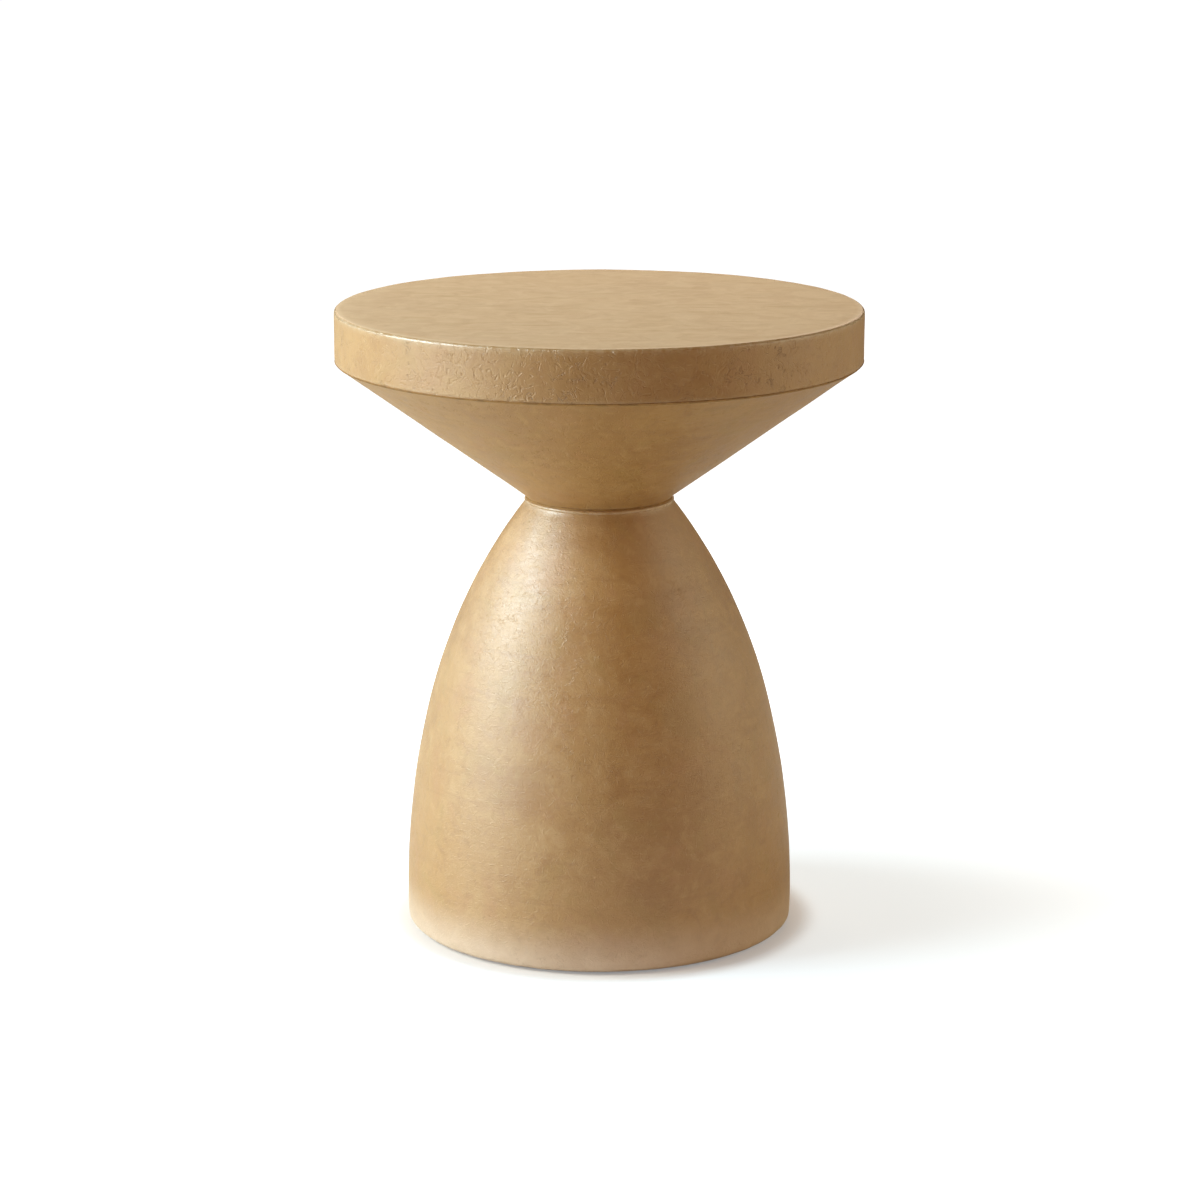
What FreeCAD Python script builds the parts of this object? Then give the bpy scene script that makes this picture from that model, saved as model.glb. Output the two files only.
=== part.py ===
"""Hourglass side table.

Three hollow castings of tinted fibre concrete stand on one another: a bullet-shaped
base, an inverted cone and a round tabletop with a deep rim. A steel tie rod on the
axis clamps them together, and four screw levellers sit in a ring bonded into the base.
Millimetres, +Z up, origin on the floor under the middle of the table.
"""
import FreeCAD, Part
import math
import os
import re

import Sketcher

SIZES = {
    # Outline of the table
    "overall_height": 548,
    "top_diameter": 457,
    "rim_height": 45,
    "cone_height": 122,
    "neck_diameter": 131,
    "base_diameter": 341.5,
    "foot_reveal": 2,
    # Tabletop casting
    "slab_thickness": 16,
    "rim_thickness": 16,
    "top_edge_radius": 3.5,
    "rim_edge_radius": 1,
    "boss_depth": 14,
    "boss_margin": 8,
    # Cone casting and its seat under the rim
    "cone_setback": 1,
    "cone_skin": 24,
    "cone_floor_share": 0.268,
    "tongue_height": 12,
    "tongue_thickness": 6,
    "tongue_clearance": 1,
    "bedding_thickness": 1,
    "bedding_setback": 0.6,
    # Base casting: two arcs from the foot to the bead under the neck
    "widest_height": 26,
    "flank_drop": 21.1,
    "flank_share": 0.525,
    "bead_radius": 1.7,
    "bead_height": 3.1,
    "bead_proud": 2,
    "base_wall": 10,
    "crown_thickness": 36,
    "foot_ring_width": 46,
    "foot_ring_height": 34,
    "foot_ring_bond": 0.3,
    "plug_bond": 0.3,
    "foot_edge_radius": 4,
    # Neck joint
    "gasket_thickness": 1,
    "gasket_setback": 2,
    "gasket_clearance": 1,
    "spigot_share": 0.44,
    "spigot_length": 10,
    "spigot_clearance": 0.4,
    "spigot_end_gap": 0.8,
    "pin_diameter": 8,
    "pin_share": 0.75,
    "pin_clearance": 0.1,
    "pin_end_gap": 0.8,
    "pin_count": 2,
    # Tie rod and the anchor under the tabletop
    "rod_diameter": 12,
    "rod_clearance": 1,
    "rod_entry": 3,
    "rod_tail": 9,
    "rod_end_gap": 0.9,
    "end_chamfer": 1,
    "thread_clearance": 0.05,
    "anchor_plate_diameter": 116,
    "anchor_plate_thickness": 6,
    "anchor_nut_share": 0.31,
    "anchor_screw_count": 4,
    "anchor_screw_inset": 14,
    "anchor_screw_diameter": 6,
    "anchor_screw_length": 15,
    "anchor_screw_clearance": 0.3,
    "anchor_head_diameter": 10.5,
    "anchor_head_height": 3.3,
    "anchor_key_width": 4,
    "anchor_key_depth": 2,
    "anchor_insert_diameter": 9.5,
    "anchor_insert_length": 12,
    "insert_cap": 1.5,
    "casting_gap": 0.05,
    # Clamp under the crown of the base
    "crown_pad_margin": 2,
    "crown_pad_thickness": 3,
    "crown_plate_diameter": 110,
    "crown_plate_thickness": 6,
    "plate_chamfer": 1,
    "tie_washer_diameter": 37,
    "tie_washer_thickness": 3,
    "spring_washer_diameter": 21,
    "spring_washer_thickness": 2.5,
    "spring_washer_angle": 346,
    "tie_nut_width": 19,
    "tie_nut_height": 10.8,
    "nut_chamfer": 1.2,
    # Levellers under the foot ring
    "leveller_count": 4,
    "leveller_first_angle": 45,
    "leveller_pocket_clearance": 1.5,
    "felt_diameter": 30,
    "felt_thickness": 2,
    "pad_diameter": 32,
    "pad_thickness": 5.5,
    "pad_edge": 1.5,
    "stem_diameter": 8,
    "stem_engagement": 15,
    "stem_flange_diameter": 12,
    "stem_flange_thickness": 2.5,
    "collar_width": 13,
    "collar_height": 4,
    "swivel_clearance": 0.1,
    "leveller_stop_gap": 0.3,
    "socket_diameter": 13,
    "socket_length": 18,
}

# Heights above the floor, from the tabletop down
SLAB_FOOT = "(overall_height - slab_thickness)"
RIM_FOOT = "(overall_height - rim_height)"
CONE_TOP = "(overall_height - rim_height - bedding_thickness)"
BOSS_FOOT = "(overall_height - slab_thickness - boss_depth)"
ANCHOR_PLATE_FOOT = f"({BOSS_FOOT} - anchor_plate_thickness)"
ROD_TOP = f"({BOSS_FOOT} + rod_entry)"
NECK_HEIGHT = "(overall_height - rim_height - cone_height)"
CONE_FOOT = f"({NECK_HEIGHT} + gasket_thickness)"
CONE_RISE = f"({CONE_TOP} - {CONE_FOOT})"
CONE_FLOOR_THICKNESS = f"({CONE_RISE} * cone_floor_share)"
CONE_FLOOR = f"({CONE_FOOT} + {CONE_FLOOR_THICKNESS})"
ANCHOR_NUT_HEIGHT = f"(({ANCHOR_PLATE_FOOT} - {CONE_FLOOR}) * anchor_nut_share)"
ANCHOR_NUT_FOOT = f"({ANCHOR_PLATE_FOOT} - {ANCHOR_NUT_HEIGHT})"
SPIGOT_FOOT = f"({CONE_FOOT} - spigot_length)"
CROWN_FOOT = f"({NECK_HEIGHT} - crown_thickness)"
CROWN_PAD_FOOT = f"({CROWN_FOOT} - crown_pad_thickness)"
CROWN_PLATE_FOOT = f"({CROWN_PAD_FOOT} - crown_plate_thickness)"
TIE_WASHER_FOOT = f"({CROWN_PLATE_FOOT} - tie_washer_thickness)"
SPRING_WASHER_FOOT = f"({TIE_WASHER_FOOT} - spring_washer_thickness)"
TIE_NUT_FOOT = f"({SPRING_WASHER_FOOT} - tie_nut_height)"
ROD_FOOT = f"({TIE_NUT_FOOT} - rod_tail)"
RING_TOP = "(foot_reveal + foot_ring_height)"
FLANK_HEIGHT = f"({NECK_HEIGHT} * flank_share)"

# Heights in a leveller screwed right in, from the floor up
PAD_TOP = "(felt_thickness + pad_thickness)"
FLANGE_FOOT = "(felt_thickness + swivel_clearance)"
FLANGE_TOP = f"({FLANGE_FOOT} + stem_flange_thickness)"
COLLAR_FOOT = f"({PAD_TOP} + swivel_clearance)"
COLLAR_TOP = f"({COLLAR_FOOT} + collar_height)"
SOCKET_FOOT = f"({COLLAR_TOP} + leveller_stop_gap)"
SOCKET_TOP = f"({SOCKET_FOOT} + socket_length)"
STEM_TOP = f"({SOCKET_FOOT} + stem_engagement)"

# Radii and circles
TOP_RADIUS = "(top_diameter / 2)"
RIM_INSIDE = "(top_diameter / 2 - rim_thickness)"
CONE_TOP_RADIUS = "(top_diameter / 2 - cone_setback)"
CONE_FOOT_RADIUS = "(neck_diameter / 2 - bead_proud)"
CONE_RUN = f"({CONE_TOP_RADIUS} - {CONE_FOOT_RADIUS})"
CONE_FLOOR_RADIUS = f"({CONE_FOOT_RADIUS} + {CONE_RUN} * cone_floor_share - cone_skin)"
TONGUE_OUTSIDE = f"({RIM_INSIDE} - tongue_clearance)"
TONGUE_INSIDE = f"({TONGUE_OUTSIDE} - tongue_thickness)"
ROD_BORE = "(rod_diameter / 2 + rod_clearance)"
ROD_THREAD = "(rod_diameter / 2 + thread_clearance)"
SPIGOT_RADIUS = "(neck_diameter * spigot_share / 2)"
GASKET_INSIDE = f"({SPIGOT_RADIUS} + gasket_clearance)"
GASKET_OUTSIDE = f"({CONE_FOOT_RADIUS} - gasket_setback)"
SEAT_RADIUS = f"({SPIGOT_RADIUS} + spigot_clearance)"
PIN_HOLE = "(pin_diameter / 2 + pin_clearance)"
PIN_LENGTH = f"({CONE_FLOOR_THICKNESS} * pin_share)"
PIN_DEPTH = f"(({PIN_LENGTH} - gasket_thickness) / 2 + pin_end_gap)"
FLANK_RADIUS = f"((({FLANK_HEIGHT} - widest_height) ^ 2 + flank_drop ^ 2) / (2 * flank_drop))"
FLANK_CENTRE = f"(base_diameter / 2 - {FLANK_RADIUS})"
FLANK_INSIDE = f"({FLANK_RADIUS} - base_wall)"
FOOT_RADIUS = f"({FLANK_CENTRE} + sqrt({FLANK_RADIUS} ^ 2 - (widest_height - foot_reveal) ^ 2))"
ROOM_AT_FOOT = f"({FLANK_CENTRE} + sqrt({FLANK_INSIDE} ^ 2 - (widest_height - foot_reveal) ^ 2))"
ROOM_AT_RING_TOP = f"({FLANK_CENTRE} + sqrt({FLANK_INSIDE} ^ 2 - (widest_height - {RING_TOP}) ^ 2))"
RING_OUTSIDE = f"(min({ROOM_AT_FOOT}; {ROOM_AT_RING_TOP}) - foot_ring_bond)"
RING_INSIDE = f"({RING_OUTSIDE} - foot_ring_width)"
ANCHOR_CIRCLE = "(anchor_plate_diameter / 2 - anchor_screw_inset)"
LEVELLER_CIRCLE = f"({RING_OUTSIDE} - foot_ring_width / 2)"

# The base's shoulder: an arc that runs on from the flank and ends under the bead
SHOULDER = {
    "lean_sine": f"({FLANK_HEIGHT} - widest_height) / {FLANK_RADIUS}",
    "lean_cosine": f"1 - flank_drop / {FLANK_RADIUS}",
    "span_across": "(neck_diameter - base_diameter) / 2 - bead_radius + flank_drop"
                   " + sqrt(bead_radius ^ 2 - (bead_height - bead_radius) ^ 2)",
    "span_up": f"{NECK_HEIGHT} - bead_height - {FLANK_HEIGHT}",
    "shoulder_radius": "-(span_across ^ 2 + span_up ^ 2)"
                       " / (2 * (span_across * lean_cosine + span_up * lean_sine))",
    "shoulder_across": "base_diameter / 2 - flank_drop - shoulder_radius * lean_cosine",
    "shoulder_up": f"{FLANK_HEIGHT} - shoulder_radius * lean_sine",
}
SHOULDER_INSIDE = "(shoulder_radius - base_wall)"
ROOM_AT_CROWN_FOOT = f"(shoulder_across + sqrt({SHOULDER_INSIDE} ^ 2 - ({CROWN_FOOT} - shoulder_up) ^ 2))"
ROOM_AT_NECK = f"(shoulder_across + sqrt({SHOULDER_INSIDE} ^ 2 - ({NECK_HEIGHT} - shoulder_up) ^ 2))"
PIN_CIRCLE = f"(({SEAT_RADIUS} + {ROOM_AT_NECK} - plug_bond) / 2)"

START, END, CENTRE = range(1, 4)
UP_AXIS, ACROSS_AXIS = range(-2, 0)
ORIGIN = ACROSS_AXIS

doc = FreeCAD.newDocument("hourglass_side_table")
sheet = doc.addObject("Spreadsheet::Sheet", "Sizes")
worked_out = {alias: f"={words}" for alias, words in SHOULDER.items()}
for row, (alias, value) in enumerate({**SIZES, **worked_out}.items(), start=1):
    sheet.set(f"A{row}", alias.replace("_", " "))
    sheet.setAlias(f"B{row}", alias)
    sheet.set(f"B{row}", str(value))
doc.recompute()


def cells(words):
    """Turn the size names in an expression into references to the sheet's cells."""
    return re.sub(r"\b[a-z]+(?:_[a-z]+)+\b", r"Sizes.\g<0>", words)


def size(words):
    """The number that an expression of size names stands for."""
    value = sheet.evalExpression(cells(words))
    return float(getattr(value, "Value", value))


def count(words):
    """A whole number from the sheet."""
    return int(round(size(words)))


def at_angle(radius, angle):
    """Expressions for the point at a radius and an angle in degrees."""
    return f"({radius} * cos(({angle}) * 1 deg))", f"({radius} * sin(({angle}) * 1 deg))"


def origin_item(body, role):
    """One of a body's own origin planes or axes."""
    return next(item for item in body.Origin.OriginFeatures if item.Role == role)


def new_body(label):
    body = doc.addObject("PartDesign::Body", label)
    body.Label = label
    return body


def new_sketch(body, name, plane="XZ_Plane", height=None):
    """A sketch on one of the body's planes, raised to a height where one is given."""
    sketch = body.newObject("Sketcher::SketchObject", name)
    sketch.AttachmentSupport = [(origin_item(body, plane), "")]
    sketch.MapMode = "FlatFace"
    if height is not None:
        sketch.setExpression("AttachmentOffset.Base.z", cells(height))
    return sketch


def bind(sketch, constraint, words):
    """Add a dimension to a sketch and bind it to the sheet."""
    index = sketch.addConstraint(constraint)
    sketch.setExpression(f"Constraints[{index}]", cells(words))


def hold(sketch, curve, end, across=None, up=None):
    """Hold a point of a curve at distances across and up from the sketch's origin."""
    for kind, words, axis in (("DistanceX", across, UP_AXIS), ("DistanceY", up, ACROSS_AXIS)):
        if words is None:
            continue
        value = size(words)
        if abs(value) < 1e-9:
            sketch.addConstraint(Sketcher.Constraint("PointOnObject", curve, end, axis))
        elif value > 0:
            bind(sketch, Sketcher.Constraint(kind, ORIGIN, START, curve, end, value), words)
        else:
            bind(sketch, Sketcher.Constraint(kind, curve, end, ORIGIN, START, -value), f"-({words})")


def join(sketch, first, first_end, second, second_end):
    sketch.addConstraint(Sketcher.Constraint("Coincident", first, first_end, second, second_end))


def draw_polygon(sketch, corners):
    """A closed outline of straight lines through corners given as (across, up)."""
    points = [FreeCAD.Vector(size(across), size(up), 0) for across, up in corners]
    for start, end in zip(points, points[1:] + points[:1]):
        sketch.addGeometry(Part.LineSegment(start, end), False)
    for line in range(len(points)):
        join(sketch, line, END, (line + 1) % len(points), START)
    for line, (across, up) in enumerate(corners):
        hold(sketch, line, START, across, up)


def draw_circle(sketch, radius, across, up):
    centre = FreeCAD.Vector(size(across), size(up), 0)
    curve = sketch.addGeometry(Part.Circle(centre, FreeCAD.Vector(0, 0, 1), size(radius)), False)
    hold(sketch, curve, CENTRE, across, up)
    bind(sketch, Sketcher.Constraint("Radius", curve, size(radius)), radius)


def draw_hexagon(sketch, width):
    """A hexagon of a width across its flats, about the sketch's origin."""
    corner = f"({width} / sqrt(3))"
    draw_polygon(sketch, [at_angle(corner, f"{60 * turn}") for turn in range(6)])


def turn_section(body, sketch, name, axis="V_Axis", arc="360"):
    turn = body.newObject("PartDesign::Revolution", name)
    turn.Profile = sketch
    turn.ReferenceAxis = (sketch, [axis])
    turn.setExpression("Angle", cells(arc))
    doc.recompute()
    return turn


def turned(label, corners, arc="360"):
    """A body turned about the upright axis from a section given as (radius, height)."""
    body = new_body(label)
    sketch = new_sketch(body, f"{label}_section")
    draw_polygon(sketch, corners)
    turn_section(body, sketch, f"{label}_turn", arc=arc)
    return body


def turned_ring(label, corners, circle, copies):
    """Like turned, but about an axis out on a circle, and repeated round that circle."""
    body = new_body(label)
    sketch = new_sketch(body, f"{label}_section")
    draw_polygon(sketch, [(f"({circle} + {radius})", up) for radius, up in corners])
    heights = [size(up) for radius, up in corners]
    reach = size(circle)
    ends = [FreeCAD.Vector(reach, level, 0) for level in (min(heights), max(heights))]
    axis = sketch.addGeometry(Part.LineSegment(*ends), True)
    sketch.addConstraint(Sketcher.Constraint("Vertical", axis))
    hold(sketch, axis, START, circle)
    turn = turn_section(body, sketch, f"{label}_turn", axis="Axis0")
    repeat(body, [turn], copies)
    return body


def repeat(body, features, copies):
    """Repeat features of a body evenly round the upright axis."""
    pattern = body.newObject("PartDesign::PolarPattern", f"{body.Label}_pattern")
    pattern.Originals = features
    pattern.Axis = (origin_item(body, "Z_Axis"), [""])
    pattern.Angle = 360
    pattern.setExpression("Occurrences", cells(copies))
    body.Tip = pattern
    doc.recompute()


def drill(body, name, height, depth, radius, spot=("0", "0"), upwards=False):
    """Cut a round hole into a body from a height, and make sure that it cut."""
    before = body.Shape.Volume
    sketch = new_sketch(body, f"{name}_outline", "XY_Plane", height)
    draw_circle(sketch, radius, *spot)
    pocket = body.newObject("PartDesign::Pocket", name)
    pocket.Profile = sketch
    pocket.Reversed = upwards
    pocket.setExpression("Length", cells(depth))
    doc.recompute()
    if body.Shape.Volume > before - 1e-3:
        raise RuntimeError(f"{name} cut nothing")
    return pocket


def raise_hexagon(body, name, height, width, length):
    sketch = new_sketch(body, f"{name}_outline", "XY_Plane", height)
    draw_hexagon(sketch, width)
    pad = body.newObject("PartDesign::Pad", name)
    pad.Profile = sketch
    pad.setExpression("Length", cells(length))
    doc.recompute()
    return pad


def round_edges(body, name, radius, places):
    """Round the circular edges of a body that lie at the given (radius, height) places."""
    wanted = [(size(reach), size(up)) for reach, up in places]
    names = []
    for number, edge in enumerate(body.Shape.Edges, start=1):
        if not isinstance(edge.Curve, Part.Circle):
            continue
        here = (edge.Curve.Radius, edge.Curve.Center.z)
        if any(math.dist(here, place) < 1e-4 for place in wanted):
            names.append(f"Edge{number}")
    if len(names) != len(wanted):
        raise RuntimeError(f"{name} found {len(names)} edges of {len(wanted)}")
    last_feature = body.Tip
    fillet = body.newObject("PartDesign::Fillet", name)
    fillet.Base = (last_feature, names)
    fillet.setExpression("Radius", cells(radius))
    doc.recompute()


def place(body, across, along):
    """Stand a body that was made on the origin at a point of the floor plan."""
    body.setExpression("Placement.Base.x", cells(across))
    body.setExpression("Placement.Base.y", cells(along))
    doc.recompute()


def tabletop():
    """Disc with a deep downturned rim and a boss for the anchor under its middle."""
    boss = "(anchor_plate_diameter / 2 + boss_margin)"
    body = turned("tabletop", [
        ("0", "overall_height"),
        ("0", BOSS_FOOT),
        (boss, BOSS_FOOT),
        (boss, SLAB_FOOT),
        (RIM_INSIDE, SLAB_FOOT),
        (RIM_INSIDE, RIM_FOOT),
        (TOP_RADIUS, RIM_FOOT),
        (TOP_RADIUS, "overall_height"),
    ])
    round_edges(body, "top_edge", "top_edge_radius", [(TOP_RADIUS, "overall_height")])
    round_edges(body, "rim_edge", "rim_edge_radius", [(TOP_RADIUS, RIM_FOOT)])
    drill(body, "rod_pocket", BOSS_FOOT, "rod_entry + rod_end_gap", ROD_BORE, upwards=True)
    hole = drill(body, "insert_hole", BOSS_FOOT, "anchor_insert_length + casting_gap",
                 "(anchor_insert_diameter / 2 + casting_gap)", (ANCHOR_CIRCLE, "0"), upwards=True)
    repeat(body, [hole], "anchor_screw_count")
    return body


def upper_cone():
    """Funnel shell with a tongue inside the rim, a thick floor and a spigot at its foot."""
    body = turned("upper_cone", [
        (ROD_BORE, SPIGOT_FOOT),
        (SPIGOT_RADIUS, SPIGOT_FOOT),
        (SPIGOT_RADIUS, CONE_FOOT),
        (CONE_FOOT_RADIUS, CONE_FOOT),
        (CONE_TOP_RADIUS, CONE_TOP),
        (TONGUE_OUTSIDE, CONE_TOP),
        (TONGUE_OUTSIDE, f"({CONE_TOP} + tongue_height)"),
        (TONGUE_INSIDE, f"({CONE_TOP} + tongue_height)"),
        (TONGUE_INSIDE, CONE_TOP),
        (f"({CONE_TOP_RADIUS} - cone_skin)", CONE_TOP),
        (CONE_FLOOR_RADIUS, CONE_FLOOR),
        (ROD_BORE, CONE_FLOOR),
    ])
    hole = drill(body, "cone_pin_hole", CONE_FOOT, PIN_DEPTH, PIN_HOLE, (PIN_CIRCLE, "0"), upwards=True)
    repeat(body, [hole], "pin_count")
    return body


def base_shell():
    """Bullet-shaped shell, open below and at the neck, with a bead round the neck."""
    body = new_body("base_shell")
    sketch = new_sketch(body, "base_section")
    draw_base_section(sketch)
    turn_section(body, sketch, "base_turn")
    round_edges(body, "foot_edge", "foot_edge_radius", [(FOOT_RADIUS, "foot_reveal")])
    return body


def crown_plug():
    """Plug bonded into the neck of the base, with the spigot's seat and the rod's bore."""
    seat_foot = f"({SPIGOT_FOOT} - spigot_end_gap)"
    body = turned("crown_plug", [
        (ROD_BORE, CROWN_FOOT),
        (f"({ROOM_AT_CROWN_FOOT} - plug_bond)", CROWN_FOOT),
        (f"({ROOM_AT_NECK} - plug_bond)", NECK_HEIGHT),
        (SEAT_RADIUS, NECK_HEIGHT),
        (SEAT_RADIUS, seat_foot),
        (ROD_BORE, seat_foot),
    ])
    pin_hole = drill(body, "crown_pin_hole", NECK_HEIGHT, PIN_DEPTH, PIN_HOLE, (PIN_CIRCLE, "0"))
    repeat(body, [pin_hole], "pin_count")
    return body


def foot_ring():
    """Ring bonded inside the foot of the base, with pockets and sockets for the levellers."""
    body = flat_ring("foot_ring", RING_INSIDE, RING_OUTSIDE, "foot_reveal", RING_TOP)
    spot = at_angle(LEVELLER_CIRCLE, "leveller_first_angle")
    pocket = drill(body, "leveller_pocket", "foot_reveal", f"{SOCKET_FOOT} - foot_reveal",
                   "(pad_diameter / 2 + leveller_pocket_clearance)", spot, upwards=True)
    hole = drill(body, "socket_hole", SOCKET_FOOT, "socket_length + casting_gap",
                 "(socket_diameter / 2 + casting_gap)", spot, upwards=True)
    repeat(body, [pocket, hole], "leveller_count")
    return body


def draw_base_section(sketch):
    """Section of the base: flank and shoulder arcs, bead and inner arcs."""
    widest, low = size("base_diameter / 2"), size("widest_height")
    flank, wall = size(FLANK_RADIUS), size("base_wall")
    bead = size("bead_radius")
    bead_centre = FreeCAD.Vector(size("neck_diameter / 2") - bead, size(NECK_HEIGHT) - bead, 0)
    drop = size("bead_height") - bead
    neck = bead_centre + FreeCAD.Vector(math.sqrt(bead ** 2 - drop ** 2), -drop, 0)
    flank_centre = FreeCAD.Vector(widest - flank, low, 0)
    lean = math.asin(size("lean_sine"))
    shoulder = size("shoulder_radius")
    shoulder_centre = FreeCAD.Vector(size("shoulder_across"), size("shoulder_up"), 0)
    foot_angle = math.asin((size("foot_reveal") - low) / flank)
    inner_foot_angle = math.asin((size("foot_reveal") - low) / (flank - wall))
    neck_angle = math.atan2(neck.y - shoulder_centre.y, neck.x - shoulder_centre.x)
    inner_neck_angle = math.asin((size(NECK_HEIGHT) - shoulder_centre.y) / (shoulder - wall))
    upright = FreeCAD.Vector(0, 0, 1)

    def arc(centre, radius, first, last):
        circle = Part.Circle(centre, upright, radius)
        return sketch.addGeometry(Part.ArcOfCircle(circle, first, last), False)

    def line(first, last):
        return sketch.addGeometry(Part.LineSegment(first, last), False)

    def polar(centre, radius, angle):
        return centre + FreeCAD.Vector(math.cos(angle), math.sin(angle), 0) * radius

    outer_flank = arc(flank_centre, flank, foot_angle, lean)
    outer_shoulder = arc(shoulder_centre, shoulder, lean, neck_angle)
    outer_bead = arc(bead_centre, bead, -math.asin(drop / bead), math.pi / 2)
    top_line = line(FreeCAD.Vector(bead_centre.x, size(NECK_HEIGHT), 0),
                    polar(shoulder_centre, shoulder - wall, inner_neck_angle))
    inner_shoulder = arc(shoulder_centre, shoulder - wall, lean, inner_neck_angle)
    inner_flank = arc(flank_centre, flank - wall, inner_foot_angle, lean)
    foot_line = line(polar(flank_centre, flank - wall, inner_foot_angle),
                     polar(flank_centre, flank, foot_angle))

    # The flank arc stands upright at the widest height
    bind(sketch, Sketcher.Constraint("Radius", outer_flank, flank), FLANK_RADIUS)
    hold(sketch, outer_flank, CENTRE, FLANK_CENTRE, "widest_height")
    hold(sketch, outer_flank, START, up="foot_reveal")
    hold(sketch, outer_flank, END, up=FLANK_HEIGHT)
    # The shoulder runs on from the flank without a kink and ends under the bead
    sketch.addConstraint(Sketcher.Constraint("Tangent", outer_flank, END, outer_shoulder, START))
    bind(sketch, Sketcher.Constraint("Radius", outer_bead, bead), "bead_radius")
    hold(sketch, outer_bead, CENTRE, "(neck_diameter / 2 - bead_radius)", f"({NECK_HEIGHT} - bead_radius)")
    hold(sketch, outer_bead, START, up=f"({NECK_HEIGHT} - bead_height)")
    hold(sketch, outer_bead, END, across="(neck_diameter / 2 - bead_radius)")
    join(sketch, outer_shoulder, END, outer_bead, START)
    # Edge of the wall at the neck
    join(sketch, outer_bead, END, top_line, START)
    join(sketch, top_line, END, inner_shoulder, END)
    hold(sketch, inner_shoulder, END, up=NECK_HEIGHT)
    # The inside follows the outside at the wall's thickness
    join(sketch, inner_shoulder, CENTRE, outer_shoulder, CENTRE)
    join(sketch, inner_flank, CENTRE, outer_flank, CENTRE)
    bind(sketch, Sketcher.Constraint("Radius", inner_flank, flank - wall), FLANK_INSIDE)
    sketch.addConstraint(Sketcher.Constraint("Tangent", inner_flank, END, inner_shoulder, START))
    # Edge of the wall at the foot
    hold(sketch, inner_flank, START, up="foot_reveal")
    join(sketch, inner_flank, START, foot_line, START)
    join(sketch, foot_line, END, outer_flank, START)


def flat_ring(label, inside, outside, foot, top):
    return turned(label, [(inside, foot), (outside, foot), (outside, top), (inside, top)])


def bedding_ring():
    """Adhesive bed between the rim and the cone, set back so that it doesn't show."""
    return flat_ring("bedding_ring", f"({RIM_INSIDE} + bedding_setback)",
                     f"({CONE_TOP_RADIUS} - bedding_setback)", CONE_TOP, RIM_FOOT)


def neck_gasket():
    """Thin packing between the cone and the crown, with holes for the pins."""
    body = flat_ring("neck_gasket", GASKET_INSIDE, GASKET_OUTSIDE, NECK_HEIGHT, CONE_FOOT)
    hole = drill(body, "gasket_pin_hole", CONE_FOOT, "gasket_thickness", PIN_HOLE, (PIN_CIRCLE, "0"))
    repeat(body, [hole], "pin_count")
    return body


def locating_pins():
    """Dowels that keep the cone from turning on the base."""
    radius, short = "(pin_diameter / 2)", "(pin_diameter / 2 - end_chamfer)"
    middle = f"({NECK_HEIGHT} + gasket_thickness / 2)"
    low, high = f"({middle} - {PIN_LENGTH} / 2)", f"({middle} + {PIN_LENGTH} / 2)"
    return turned_ring("locating_pins", [
        ("0", low),
        (short, low),
        (radius, f"({low} + end_chamfer)"),
        (radius, f"({high} - end_chamfer)"),
        (short, high),
        ("0", high),
    ], PIN_CIRCLE, "pin_count")


def anchor_inserts():
    """Threaded inserts cast into the tabletop's boss, closed at the top."""
    top = f"({BOSS_FOOT} + anchor_insert_length)"
    bore = "(anchor_screw_diameter / 2 + thread_clearance)"
    roof = f"({top} - insert_cap)"
    return turned_ring("anchor_inserts", [
        (bore, BOSS_FOOT),
        ("(anchor_insert_diameter / 2)", BOSS_FOOT),
        ("(anchor_insert_diameter / 2)", top),
        ("0", top),
        ("0", roof),
        (bore, roof),
    ], ANCHOR_CIRCLE, "anchor_screw_count")


def anchor_plate():
    """Steel plate screwed under the boss, with a hole for the rod."""
    edge = "(anchor_plate_diameter / 2)"
    body = turned("anchor_plate", [
        (ROD_THREAD, ANCHOR_PLATE_FOOT),
        (f"({edge} - plate_chamfer)", ANCHOR_PLATE_FOOT),
        (edge, f"({ANCHOR_PLATE_FOOT} + plate_chamfer)"),
        (edge, BOSS_FOOT),
        (ROD_THREAD, BOSS_FOOT),
    ])
    hole = drill(body, "anchor_screw_hole", BOSS_FOOT, "anchor_plate_thickness",
                 "(anchor_screw_diameter / 2 + anchor_screw_clearance)", (ANCHOR_CIRCLE, "0"))
    repeat(body, [hole], "anchor_screw_count")
    return body


def anchor_screws():
    """Low-headed screws with a key socket, up through the plate into the inserts."""
    shank, tip = "(anchor_screw_diameter / 2)", "(anchor_screw_diameter / 2 - end_chamfer)"
    top = f"({ANCHOR_PLATE_FOOT} + anchor_screw_length)"
    head_foot = f"({ANCHOR_PLATE_FOOT} - anchor_head_height)"
    key, key_roof = "(anchor_key_width / 2)", f"({head_foot} + anchor_key_depth)"
    return turned_ring("anchor_screws", [
        ("0", top),
        (tip, top),
        (shank, f"({top} - end_chamfer)"),
        (shank, ANCHOR_PLATE_FOOT),
        ("(anchor_head_diameter / 2)", ANCHOR_PLATE_FOOT),
        ("(anchor_head_diameter / 2 - end_chamfer)", head_foot),
        (key, head_foot),
        (key, key_roof),
        ("0", key_roof),
    ], ANCHOR_CIRCLE, "anchor_screw_count")


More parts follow.
